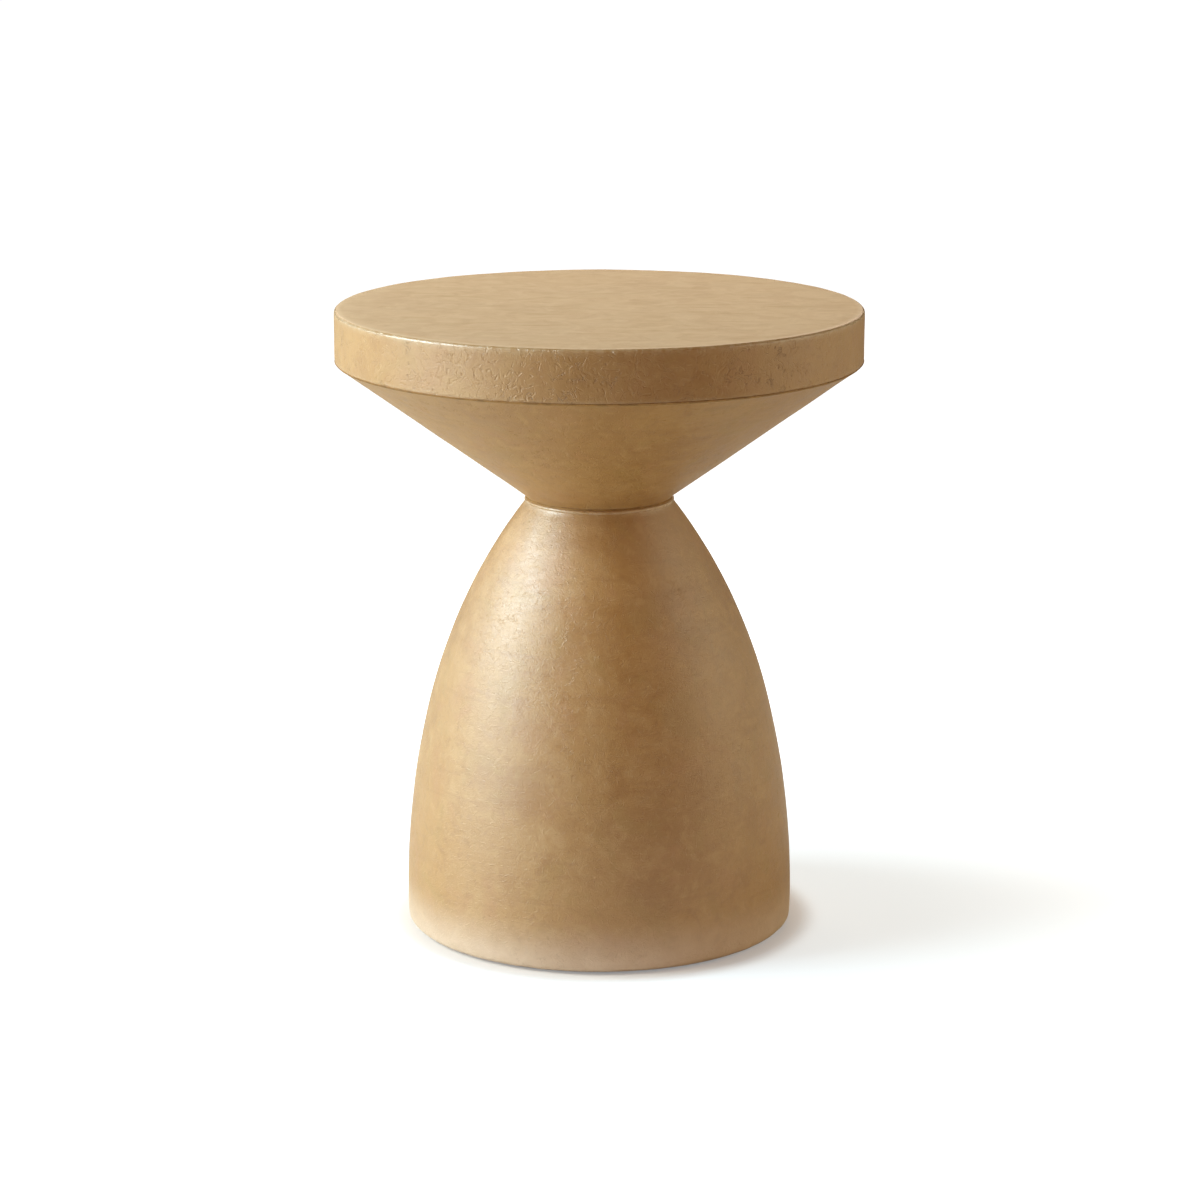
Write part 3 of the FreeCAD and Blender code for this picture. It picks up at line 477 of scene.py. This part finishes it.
def clouds(tree, place, shift, looks):
    """Mottled colour, from a hand's width down to a few millimetres, and its two finer noises."""
    wide = noise(tree, place, 11, 5, 0.55, 0.7)
    middle = noise(tree, place, 42, 6, 0.62, 0.9)
    small = noise(tree, place, 150, 5, 0.6, 0.6)
    elsewhere = object_place(tree, (shift[0] + 3.1, shift[1], shift[2] - 1.7))
    hue = noise(tree, elsewhere, 24, 4, 0.6, 0.8)
    # A noise, where its cloud begins and is fullest, its strength there and its colour
    layers = (
        (wide, 0.45, 0.64, 0.62, looks.brown), (wide, 0.42, 0.30, 0.55, looks.pale),
        (middle, 0.50, 0.68, 0.70, looks.pale), (middle, 0.47, 0.32, 0.75, looks.brown),
        (hue, 0.53, 0.68, 0.70, looks.rose), (hue, 0.46, 0.32, 0.60, looks.olive),
        (small, 0.53, 0.70, 0.55, looks.brown), (small, 0.46, 0.30, 0.45, looks.pale),
    )
    colour = looks.body
    for cloud, begins, fullest, strength, tone in layers:
        colour = blend(tree, fade(tree, cloud, begins, fullest, 0, strength), colour, tone)
    return colour, middle, small


def skin_marks(tree, place, stretched):
    """Holes, fibres, dents, crinkles and creases in the skin, each from 0 to 1."""
    patch = fade(tree, noise(tree, place, 14, 3, 0.5), 0.44, 0.60)
    splits = cracks(tree, place, 95, 0.030, patch)
    holes = calc(tree, "MAXIMUM", pits(tree, place, 120, 0.24, patch), splits)
    fibres = short_fibres(tree, place, 170, 0.00050, 0.0042, 0.42)
    dents = fade(tree, noise(tree, place, 135, 3, 0.58, 1.3), 0.53, 0.66)
    crinkle = noise(tree, stretched, 150, 4, 0.62, 1.0)
    winding = noise(tree, stretched, 120, 3, 0.62, 1.4)
    crease = fade(tree, calc(tree, "ABSOLUTE", calc(tree, "SUBTRACT", winding, 0.5)), 0.0, 0.06)
    return holes, fibres, dents, crinkle, crease


def concrete_finish(name, shift, smooth_top=False, wrinkle_stretch=2.2, fibrous=1.0, pitted=1.0,
                    soiled=0.3, side_wax=1.0, foot_painted_floor_light=False):
    """Waxed, tinted concrete with clouds, pits, fibres and fine wrinkles."""
    looks = bpy.context.scene.concrete_looks
    finish, tree, shader = new_finish(name)
    place = object_place(tree, shift)
    stretched = object_place(tree, shift, (1, 1, wrinkle_stretch))
    calm = 1.0
    if smooth_top:
        facing = wire(tree, "ShaderNodeTexCoord").outputs["Normal"]
        upwards = wire(tree, "ShaderNodeSeparateXYZ", {0: facing}).outputs[2]
        calm = fade(tree, upwards, 0.45, 0.9, 1.0, 0.16)

    colour, middle, small = clouds(tree, place, shift, looks)
    grain = noise(tree, place, 900, 3, 0.6)
    colour = blend(tree, fade(tree, grain, 0.52, 0.70, 0, 0.35), colour, looks.brown)
    brushed = (5, 26, 5) if smooth_top else (4, 4, 34)
    streaks = noise(tree, object_place(tree, shift, brushed), 3.2, 5, 0.6, 0.5)
    streak = fade(tree, streaks, 0.52, 0.70, 0, 0.50)
    if smooth_top:
        streak = calc(tree, "MULTIPLY", streak, fade(tree, calm, 0.2, 1.0, 0.35, 0.0))
        colour = blend(tree, fade(tree, calm, 0.2, 1.0, 0.0, 0.34), colour, looks.brown)
        # Painted sheen: the top face is blended towards a paler colour that stands in for the
        # reflection of the bright room, in place of most of its wax
        painted_top_sheen = fade(tree, upwards, 0.90, 0.995)
        painted_sheen_share = calc(tree, "MULTIPLY", painted_top_sheen, fade(tree, middle, *NOISE_SPAN, 0.55, 0.75))
        colour = blend(tree, painted_sheen_share, colour, looks.painted_top_sheen)
    colour = blend(tree, streak, colour, looks.brown)
    # Painted light: the base turns paler towards the floor, standing in for light thrown up by the
    # white floor
    if foot_painted_floor_light:
        spot = wire(tree, "ShaderNodeTexCoord").outputs["Object"]
        height = wire(tree, "ShaderNodeSeparateXYZ", {0: spot}).outputs[2]
        painted_floor_light_share = fade(tree, height, looks.painted_floor_light_height, -0.006, 0.0, 0.90)
        painted_floor_light_share = calc(tree, "MULTIPLY", painted_floor_light_share, fade(tree, middle, *NOISE_SPAN, 0.8, 1.0))
        colour = blend(tree, painted_floor_light_share, colour, looks.painted_floor_light)

    # Marks in the skin, which are weak where the face is calm
    marks = skin_marks(tree, place, stretched)
    dirt, fibres, dents, crinkle, crease = (calc(tree, "MULTIPLY", mark, calm) for mark in marks)
    colour = blend(tree, calc(tree, "MULTIPLY", dirt, soiled), colour, looks.pit)
    colour = blend(tree, calc(tree, "MULTIPLY", fibres, 0.10 * fibrous), colour, looks.worn)
    rubbed = wire(tree, "ShaderNodeAttribute", attribute_name="edge_wear").outputs["Fac"]
    worn = calc(tree, "MULTIPLY", rubbed, fade(tree, small, 0.34, 0.62, 0.25, 0.9))
    colour = blend(tree, worn, colour, looks.worn)

    # Relief
    relief = bump(tree, noise(tree, place, 60, 3, 0.5), looks.lump_depth)
    relief = bump(tree, crinkle, looks.crinkle_depth, relief)
    relief = bump(tree, crease, looks.crease_depth, relief)
    relief = bump(tree, fibres, looks.fibre_height * fibrous, relief)
    relief = bump(tree, calc(tree, "SUBTRACT", 1.0, dents), looks.dent_depth * pitted, relief)
    relief = bump(tree, calc(tree, "SUBTRACT", 1.0, dirt), looks.pit_depth * pitted, relief)
    relief = bump(tree, grain, looks.grain_depth, relief)

    # Sheen
    rough = calc(tree, "ADD", fade(tree, middle, *NOISE_SPAN, -0.06, 0.06), looks.roughness)
    rough = calc(tree, "ADD", rough, calc(tree, "MULTIPLY", dirt, 0.3))
    waxed = calc(tree, "ADD", fade(tree, middle, *NOISE_SPAN, -0.05, 0.05), looks.wax_roughness)
    waxed = calc(tree, "SUBTRACT", waxed, calc(tree, "MULTIPLY", rubbed, looks.arris_polish))
    tree.links.new(colour, shader.inputs["Base Color"])
    tree.links.new(relief, shader.inputs["Normal"])
    tree.links.new(relief, shader.inputs["Coat Normal"])
    tree.links.new(waxed, shader.inputs["Coat Roughness"])
    coat = fade(tree, middle, *NOISE_SPAN, 0.9 * side_wax * looks.wax, side_wax * looks.wax)
    if smooth_top:
        coat = calc(tree, "MULTIPLY", coat, fade(tree, painted_top_sheen, 0.0, 1.0, 1.0, looks.top_wax))
        rough = calc(tree, "ADD", rough, calc(tree, "MULTIPLY", painted_top_sheen, looks.top_matting))
        tree.links.new(fade(tree, painted_top_sheen, 0.0, 1.0, 0.5, 0.3), shader.inputs["Specular IOR Level"])
    tree.links.new(rough, shader.inputs["Roughness"])
    tree.links.new(calc(tree, "MAXIMUM", coat, rubbed), shader.inputs["Coat Weight"])
    shader.inputs["Coat IOR"].default_value = looks.wax_index
    return finish


def plated_finish(name, colour, roughness, stretch):
    """Plated metal with a drawn grain and a cloudy tarnish."""
    finish, tree, shader = new_finish(name)
    place = object_place(tree)
    cloud = noise(tree, place, 90, 4, 0.6)
    drawn = noise(tree, object_place(tree, scale=stretch), 500, 3)
    shade = tuple(0.72 * part for part in colour)
    tarnished = blend(tree, fade(tree, cloud, 0.42, 0.68, 0, 0.7), colour, shade)
    tree.links.new(tarnished, shader.inputs["Base Color"])
    rough = calc(tree, "ADD", fade(tree, cloud, *NOISE_SPAN, -0.06, 0.10), roughness)
    tree.links.new(rough, shader.inputs["Roughness"])
    tree.links.new(bump(tree, drawn, 0.00003), shader.inputs["Normal"])
    shader.inputs["Metallic"].default_value = 1.0
    return finish


def matt_finish(name, colour, scale, depth, roughness):
    """Moulded rubber, plastic, felt or adhesive: a mottled matt face with a fine grain."""
    finish, tree, shader = new_finish(name)
    place = object_place(tree)
    cloud = noise(tree, place, scale * 0.2, 4)
    grain = noise(tree, place, scale, 3, 0.6)
    shade = tuple(0.6 * part for part in colour)
    mottled = blend(tree, fade(tree, cloud, 0.40, 0.66, 0, 0.8), colour, shade)
    mottled = blend(tree, fade(tree, grain, 0.45, 0.75, 0, 0.5), mottled, shade)
    tree.links.new(mottled, shader.inputs["Base Color"])
    tree.links.new(bump(tree, grain, depth), shader.inputs["Normal"])
    shader.inputs["Roughness"].default_value = roughness
    return finish


def dress(names, finish):
    """Give nodes of the frame a finish in place of their plain colour."""
    for name in names:
        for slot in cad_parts[name].material_slots:
            slot.material = finish


# Sections of the castings

def tabletop_section(sizes):
    """Points round the section of the disc, its rim and the boss beneath."""
    low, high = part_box("tabletop")
    radius, top, rim_foot = high.x, high.z, low.z
    edge, lip = sizes.top_edge_radius, sizes.rim_edge_radius
    inside, under = radius - sizes.rim_thickness, top - sizes.slab_thickness
    boss_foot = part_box("anchor_plate")[1].z
    rod_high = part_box("tie_rod")[1]
    bore, pocket = rod_high.x + sizes.rod_room, rod_high.z + sizes.rod_room
    points = [(ring, top) for ring in TOP_RINGS]
    points += arc(radius - edge, top - edge, edge, math.pi / 2, 0, 8)
    points += run((radius, top - edge), (radius, rim_foot + lip), sizes.rim_row)
    points += arc(radius - lip, rim_foot + lip, lip, 0, -math.pi / 2, 4)[1:]
    points += [(inside, rim_foot), (inside, under), (sizes.boss_radius, under),
               (sizes.boss_radius, boss_foot), (bore, boss_foot), (bore, pocket), (0, pocket)]
    return points


def cone_section(sizes):
    """Points round the section of the funnel, its tongue, floor and spigot."""
    low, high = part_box("upper_cone")
    foot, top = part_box("neck_gasket")[1].z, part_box("bedding_ring")[0].z
    foot_radius, top_radius = sizes.cone_foot_radius, high.x
    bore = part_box("tie_rod")[1].x + sizes.rod_room
    rise, across, skin = top - foot, top_radius - foot_radius, sizes.cone_skin
    floor = foot + sizes.cone_floor
    floor_radius = foot_radius + sizes.cone_floor * across / rise - skin
    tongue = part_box("tabletop")[1].x - sizes.rim_thickness - sizes.tongue_gap
    tongue_inside = tongue - sizes.tongue_thickness
    points = [(bore, low.z), (sizes.spigot_radius, low.z), (sizes.spigot_radius, foot),
              (foot_radius - sizes.cone_foot_land, foot), (foot_radius - sizes.cone_edge, foot)]
    points += run((foot_radius, foot + sizes.cone_edge_rise),
                  (top_radius - sizes.cone_edge, top - sizes.cone_edge_rise), sizes.wall_row)
    points += [(top_radius - sizes.cone_lip, top), (tongue, top), (tongue, high.z),
               (tongue_inside, high.z), (tongue_inside, top), (top_radius - skin, top),
               (floor_radius, floor), (bore, floor), (bore, low.z)]
    return points


def flank_radius(sizes):
    """Radius of the base's lower arc, from how far it leans in over its height."""
    rise, drop = sizes.flank_height - sizes.widest_height, sizes.flank_drop
    return (rise ** 2 + drop ** 2) / (2 * drop)


def base_section(sizes):
    """Points round the section of the base, and how many of them are on its outside."""
    low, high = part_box("base_shell")
    widest, foot, neck_height = high.x, low.z, high.z
    flank = flank_radius(sizes)
    wall, bead, edge = sizes.base_wall, sizes.bead_radius, sizes.foot_edge_radius
    flank_centre = Vector((widest - flank, sizes.widest_height))
    lean = math.asin((sizes.flank_height - sizes.widest_height) / flank)
    outward = Vector((math.cos(lean), math.sin(lean)))
    bead_centre = Vector((sizes.neck_radius - bead, neck_height - bead))
    drop = sizes.bead_height - bead
    neck = bead_centre + Vector((math.sqrt(bead ** 2 - drop ** 2), -drop))
    meeting = flank_centre + outward * flank
    span = neck - meeting
    shoulder = -span.dot(span) / (2 * span.dot(outward))
    shoulder_centre = meeting - outward * shoulder
    neck_angle = math.atan2(neck.y - shoulder_centre.y, neck.x - shoulder_centre.x)
    inner_neck = math.asin((neck_height - shoulder_centre.y) / (shoulder - wall))
    inner_foot = math.asin((foot - sizes.widest_height) / (flank - wall))
    start = math.asin((foot + edge - sizes.widest_height) / flank)
    start_across = flank_centre.x + flank * math.cos(start)
    flank_rows = round(flank * (lean - start) / sizes.wall_row)
    shoulder_rows = round(shoulder * (neck_angle - lean) / sizes.wall_row)
    points = arc(start_across - edge, foot + edge, edge, -math.pi / 2, 0, 7)[:-1]
    points += arc(*flank_centre, flank, start, lean, flank_rows)
    points += arc(*shoulder_centre, shoulder, lean, neck_angle, shoulder_rows)[1:]
    points += arc(*bead_centre, bead, -math.asin(drop / bead), math.pi / 2, 8)[1:]
    outer_count = len(points)
    points += arc(*shoulder_centre, shoulder - wall, inner_neck, lean, 16)
    points += arc(*flank_centre, flank - wall, lean, inner_foot, 12)[1:]
    points.append(points[0])
    return points, outer_count


class SIDETABLE_OT_tabletop(bpy.types.Operator):
    """Model the disc with its deep rim and chipped arrises"""
    bl_idname = "side_table.tabletop"
    bl_label = "Tabletop casting"

    def execute(self, context):
        sizes, looks = context.scene.casting_sizes, context.scene.concrete_looks
        low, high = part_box("tabletop")
        piece = turn_section("tabletop_casting", tabletop_section(sizes), sizes.rim_steps)
        across, up = section_places(piece)
        on_rim = (across > high.x - 2 * sizes.top_edge_radius) & (up > low.z + MERGE_DISTANCE)
        skin = np.where(on_rim, 1.0, 0.0)
        top_face = np.where(up > high.z - MERGE_DISTANCE, 0.12, 0.0)
        lower = closeness(across, up, [(high.x, low.z)], 0.0022) * skin
        upper = closeness(across, up, [(high.x - 0.001, high.z - 0.001)], 0.0035)
        weigh(piece, "skin", np.maximum(skin, top_face))
        weigh(piece, "lower_arris", lower)
        weigh(piece, "upper_arris", upper)
        wear_down(piece, "mould_waves", 0.055, looks.wave_depth, "skin")
        wear_down(piece, "lumps", 0.007, looks.lump_depth, "skin", 3)
        wear_down(piece, "ragged_edge", 0.0065, 0.4 * looks.chip_depth, "lower_arris", 3)
        wear_down(piece, "rubbed_edge", 0.030, 0.25 * looks.chip_depth, "upper_arris", 2)
        finish = concrete_finish("tabletop_concrete", (0.37, 1.21, 0.0), smooth_top=True,
                                 wrinkle_stretch=0.8, fibrous=0.85, pitted=1.25, soiled=0.50,
                                 side_wax=0.64)
        finish_casting(piece, "tabletop", finish, np.maximum(0.55 * lower, upper))
        return {"FINISHED"}


class SIDETABLE_OT_cone(bpy.types.Operator):
    """Model the funnel between the rim and the neck"""
    bl_idname = "side_table.cone"
    bl_label = "Cone casting"

    def execute(self, context):
        sizes, looks = context.scene.casting_sizes, context.scene.concrete_looks
        foot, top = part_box("neck_gasket")[1].z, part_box("bedding_ring")[0].z
        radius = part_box("upper_cone")[1].x
        piece = turn_section("cone_casting", cone_section(sizes), sizes.wall_steps)
        across, up = section_places(piece)
        slope = (across - sizes.cone_foot_radius) * (top - foot) / (radius - sizes.cone_foot_radius)
        outer = np.abs(up - foot - slope) < 0.001
        skin = np.where(outer & (up > foot + 0.0001) & (up < top - 0.0001), 1.0, 0.0)
        foot_edge = closeness(across, up, [(sizes.cone_foot_radius, foot)], 0.003)
        weigh(piece, "skin", skin)
        wear_down(piece, "mould_waves", 0.060, looks.wave_depth, "skin")
        wear_down(piece, "lumps", 0.010, 0.6 * looks.lump_depth, "skin", 3)
        finish = concrete_finish("cone_concrete", (1.93, 0.42, 0.7), wrinkle_stretch=1.8,
                                 fibrous=0.6, pitted=0.7, soiled=0.20, side_wax=0.58)
        finish_casting(piece, "upper_cone", finish, 0.4 * foot_edge)
        return {"FINISHED"}


class SIDETABLE_OT_base(bpy.types.Operator):
    """Model the bullet-shaped base with its bead and rounded foot"""
    bl_idname = "side_table.base"
    bl_label = "Base casting"

    def execute(self, context):
        sizes, looks = context.scene.casting_sizes, context.scene.concrete_looks
        low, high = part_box("base_shell")
        section, outer_count = base_section(sizes)
        piece = turn_section("base_casting", section, sizes.wall_steps)
        across, up = section_places(piece)
        outline = np.array(section[:outer_count])
        nearest = np.interp(up, outline[:, 1], outline[:, 0])
        skin = np.where((across > nearest - 0.5 * sizes.base_wall) & (up > low.z + MERGE_DISTANCE)
                        & (up < high.z - sizes.bead_height), 1.0, 0.0)
        bead = closeness(across, up, [(sizes.neck_radius, high.z - sizes.bead_radius)], 0.0026)
        foot = closeness(across, up, [(high.x - 0.001, low.z + 0.001)], 0.0045)
        weigh(piece, "skin", skin)
        weigh(piece, "bead", bead)
        weigh(piece, "foot", foot)
        wear_down(piece, "mould_waves", 0.070, looks.wave_depth, "skin")
        wear_down(piece, "lumps", 0.011, 0.6 * looks.lump_depth, "skin", 3)
        wear_down(piece, "bead_wear", 0.012, 0.3 * looks.chip_depth, "bead", 3)
        wear_down(piece, "foot_wear", 0.014, 0.7 * looks.chip_depth, "foot", 3)
        finish = concrete_finish("base_concrete", (0.71, 2.35, 1.3), fibrous=0.9, pitted=0.4,
                                 soiled=0.16, foot_painted_floor_light=True)
        finish_casting(piece, "base_shell", finish, np.maximum(0.75 * bead, 0.35 * foot))
        return {"FINISHED"}


class SIDETABLE_OT_inner_castings(bpy.types.Operator):
    """Finish the cast ring inside the foot and the cast plug in the neck"""
    bl_idname = "side_table.inner_castings"
    bl_label = "Inner casting finishes"

    def execute(self, context):
        finish = concrete_finish("inner_concrete", (2.7, 0.15, 0.9), pitted=1.6, soiled=0.45)
        dress(["foot_ring", "crown_plug"], finish)
        return {"FINISHED"}


class SIDETABLE_OT_joints(bpy.types.Operator):
    """Model the squeezed-out adhesive bed and packing, and finish the rubber pad"""
    bl_idname = "side_table.joints"
    bl_label = "Joints"

    def execute(self, context):
        sizes, looks = context.scene.casting_sizes, context.scene.fitting_looks
        bed_low, bed_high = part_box("bedding_ring")
        cone_reach, rim_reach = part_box("upper_cone")[1].x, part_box("tabletop")[1].x
        rim_inside = rim_reach - sizes.rim_thickness
        # Smeared from the cone's flank out to the foot of the rim
        fillet = [(cone_reach - 0.0010, bed_low.z - 0.0007),
                  (cone_reach + 0.0008, bed_high.z + 0.0001),
                  (cone_reach - 0.0004, bed_high.z + 0.0004)]
        adhesive = matt_finish("adhesive_bed", looks.adhesive, 700, 0.0002, 0.7)
        self.squeeze("adhesive_bed", "bedding_ring", "adhesive_bed", rim_inside + SMEAR_SETBACK,
                     fillet, adhesive)
        # Rubbed off level with the cone's foot
        reach = sizes.cone_foot_radius
        gasket_low, gasket_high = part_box("neck_gasket")
        flush = [(reach + 0.0001, gasket_low.z), (reach - 0.0001, gasket_high.z)]
        packing = matt_finish("neck_packing", looks.packing, 900, 0.0001, 0.7)
        self.squeeze("neck_packing", "neck_gasket", "gasket_rubber",
                     sizes.spigot_radius + SMEAR_SETBACK, flush, packing)
        dress(["crown_pad"], matt_finish("gasket_rubber", looks.rubber, 1500, 0.00005, 0.6))
        return {"FINISHED"}

    def squeeze(self, name, node, slot, inside, outside, finish):
        """A ring between two castings with its outer edge smeared flush with them."""
        sizes = bpy.context.scene.casting_sizes
        foot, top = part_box(node)[0].z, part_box(node)[1].z
        points = [(inside, foot), (outside[0][0] - SMEAR_WIDTH, foot), *outside, (inside, top),
                  (inside, foot)]
        piece = turn_section(name, points, sizes.wall_steps)
        across = section_places(piece)[0]
        weigh(piece, "smear", np.where(across > outside[0][0] - MERGE_DISTANCE, 1.0, 0.0))
        wear_down(piece, "ragged", SMEAR_GRAIN, SMEAR_DEPTH, "smear", 3)
        stand_for(piece, node, finish)


class SIDETABLE_OT_clamp(bpy.types.Operator):
    """Finish the tie rod, plates, washers, nuts, screws, dowels and inserts"""
    bl_idname = "side_table.clamp"
    bl_label = "Clamp finishes"

    def execute(self, context):
        looks = context.scene.fitting_looks
        plates = ["anchor_plate", "crown_plate", "tie_washer", "tie_spring_washer"]
        turned = ["tie_rod", "tie_nut", "anchor_nut", "anchor_screws", "locating_pins"]
        dress(plates, plated_finish("zinc_plate", looks.zinc, 0.34, (1, 6, 1)))
        dress(turned, plated_finish("zinc_turned", looks.zinc, 0.28, (1, 1, 8)))
        dress(["anchor_inserts", "leveller_sockets"],
              plated_finish("insert_brass", looks.brass, 0.3, (1, 1, 8)))
        return {"FINISHED"}


class SIDETABLE_OT_levellers(bpy.types.Operator):
    """Finish the stems, feet and felt discs of the four levellers"""
    bl_idname = "side_table.levellers"
    bl_label = "Leveller finishes"

    def execute(self, context):
        looks = context.scene.fitting_looks
        dress([f"leveller_stem_{number}" for number in LEVELLER_NUMBERS],
              plated_finish("stem_zinc", looks.zinc, 0.30, (1, 1, 9)))
        dress([f"leveller_pad_{number}" for number in LEVELLER_NUMBERS],
              matt_finish("pad_nylon", looks.nylon, 1200, 0.00004, 0.42))
        dress([f"leveller_felt_{number}" for number in LEVELLER_NUMBERS],
              matt_finish("foot_felt", looks.felt, 2200, 0.0003, 0.95))
        return {"FINISHED"}


class SIDETABLE_OT_studio(bpy.types.Operator):
    """Set the camera, floor, lamps and surrounding room"""
    bl_idname = "side_table.studio"
    bl_label = "Studio"

    def execute(self, context):
        looks = context.scene.studio_looks
        self.set_camera(context, looks)
        self.set_floor(looks)
        self.set_room(context, looks)
        for name, place, size, watts, colour in LAMPS:
            self.set_lamp(name, place, size, getattr(looks, watts), getattr(looks, colour))
        context.scene.view_settings.view_transform = "Standard"
        return {"FINISHED"}

    def set_camera(self, context, looks):
        place = (looks.camera_side, -looks.camera_distance, looks.camera_height)
        bpy.ops.object.camera_add(location=place, rotation=(math.pi / 2 - looks.camera_tilt, 0, 0))
        camera = context.active_object
        camera.name = "photo_camera"
        camera.data.sensor_width = SENSOR_WIDTH
        camera.data.lens = looks.focal_length
        context.scene.camera = camera

    def set_floor(self, looks):
        deselect_everything()
        bpy.ops.mesh.primitive_plane_add(size=FLOOR_SIZE, location=(0, 0, 0))
        floor = bpy.context.active_object
        floor.name = "studio_floor"
        finish, tree, shader = new_finish("pale_floor")
        cloud = noise(tree, object_place(tree), 1.5, 3)
        shade = tuple(0.985 * part for part in looks.floor_colour)
        mottled = blend(tree, fade(tree, cloud, *NOISE_SPAN), looks.floor_colour, shade)
        shader.inputs["Roughness"].default_value = 0.9
        shader.inputs["Specular IOR Level"].default_value = 0.1
        seen = wire(tree, "ShaderNodeLightPath").outputs["Is Camera Ray"]
        reach = vector_calc(tree, "LENGTH", object_place(tree))
        # Painted contact shadow: close to the base the camera sees a warmer floor colour and a
        # weaker glow
        foot_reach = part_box("base_shell")[1].x
        outside_painted_shadow = fade(tree, reach, foot_reach - 0.003, foot_reach + looks.painted_contact_shadow_reach)
        seen_colour_with_painted_shadow = blend(tree, outside_painted_shadow, looks.painted_contact_shadow_colour, looks.seen_floor_colour)
        tree.links.new(blend(tree, seen, mottled, seen_colour_with_painted_shadow), shader.inputs["Base Color"])
        glow = fade(tree, reach, looks.near_reach, looks.far_reach, looks.near_glow, looks.far_glow)
        glow = calc(tree, "MULTIPLY", glow, fade(tree, outside_painted_shadow, 0.0, 1.0, looks.painted_contact_shadow_glow, 1.0))
        tree.links.new(calc(tree, "MULTIPLY", seen, glow), shader.inputs["Emission Strength"])
        whitening = fade(tree, reach, looks.near_reach, looks.far_reach)
        glow_colour = blend(tree, whitening, looks.glow_colour, (1, 1, 1))
        tree.links.new(glow_colour, shader.inputs["Emission Color"])
        floor.data.materials.append(finish)

    def set_room(self, context, looks):
        world = bpy.data.worlds.new("studio_room")
        world.use_nodes = True
        context.scene.world = world
        tree = world.node_tree
        tree.nodes.clear()
        path = wire(tree, "ShaderNodeLightPath").outputs["Is Camera Ray"]
        aim = wire(tree, "ShaderNodeTexCoord").outputs["Generated"]
        depth = wire(tree, "ShaderNodeSeparateXYZ", {0: aim}).outputs[1]
        room = blend(tree, fade(tree, depth, -0.6, 0.2), looks.room_front, (0, 0, 0))
        seen = blend(tree, path, room, (1, 1, 1))
        light = wire(tree, "ShaderNodeBackground", {"Color": seen, "Strength": 1.0})
        wire(tree, "ShaderNodeOutputWorld", {"Surface": light.outputs[0]})

    def set_lamp(self, name, place, size, watts, colour):
        aim = (LAMP_TARGET - Vector(place)).to_track_quat("-Z", "Y").to_euler()
        bpy.ops.object.light_add(type="AREA", location=place, rotation=aim)
        lamp = bpy.context.active_object
        lamp.name = name
        lamp.data.shape = "RECTANGLE"
        lamp.data.size, lamp.data.size_y = size
        lamp.data.energy = watts
        lamp.data.color = colour


class SIDETABLE_PT_panel(bpy.types.Panel):
    """The pieces of the side table"""
    bl_idname = "SIDETABLE_PT_panel"
    bl_label = "Side Table"
    bl_space_type = "VIEW_3D"
    bl_region_type = "UI"
    bl_category = "Side Table"

    def draw(self, context):
        for step in STEPS:
            self.layout.operator(step.bl_idname)


STEPS = (SIDETABLE_OT_tabletop, SIDETABLE_OT_cone, SIDETABLE_OT_base, SIDETABLE_OT_inner_castings,
         SIDETABLE_OT_joints, SIDETABLE_OT_clamp, SIDETABLE_OT_levellers, SIDETABLE_OT_studio)
GROUPS = {"casting_sizes": CastingSizes, "concrete_looks": ConcreteLooks,
          "fitting_looks": FittingLooks, "studio_looks": StudioLooks}


def register():
    for group in (*GROUPS.values(), *STEPS, SIDETABLE_PT_panel):
        bpy.utils.register_class(group)
    for name, group in GROUPS.items():
        setattr(bpy.types.Scene, name, PointerProperty(type=group))


def unregister():
    for name in GROUPS:
        delattr(bpy.types.Scene, name)
    for group in (SIDETABLE_PT_panel, *STEPS, *GROUPS.values()):
        bpy.utils.unregister_class(group)


def main():
    register()
    for step in STEPS:
        family, name = step.bl_idname.split(".")
        getattr(getattr(bpy.ops, family), name)()


if __name__ == "__main__":
    main()
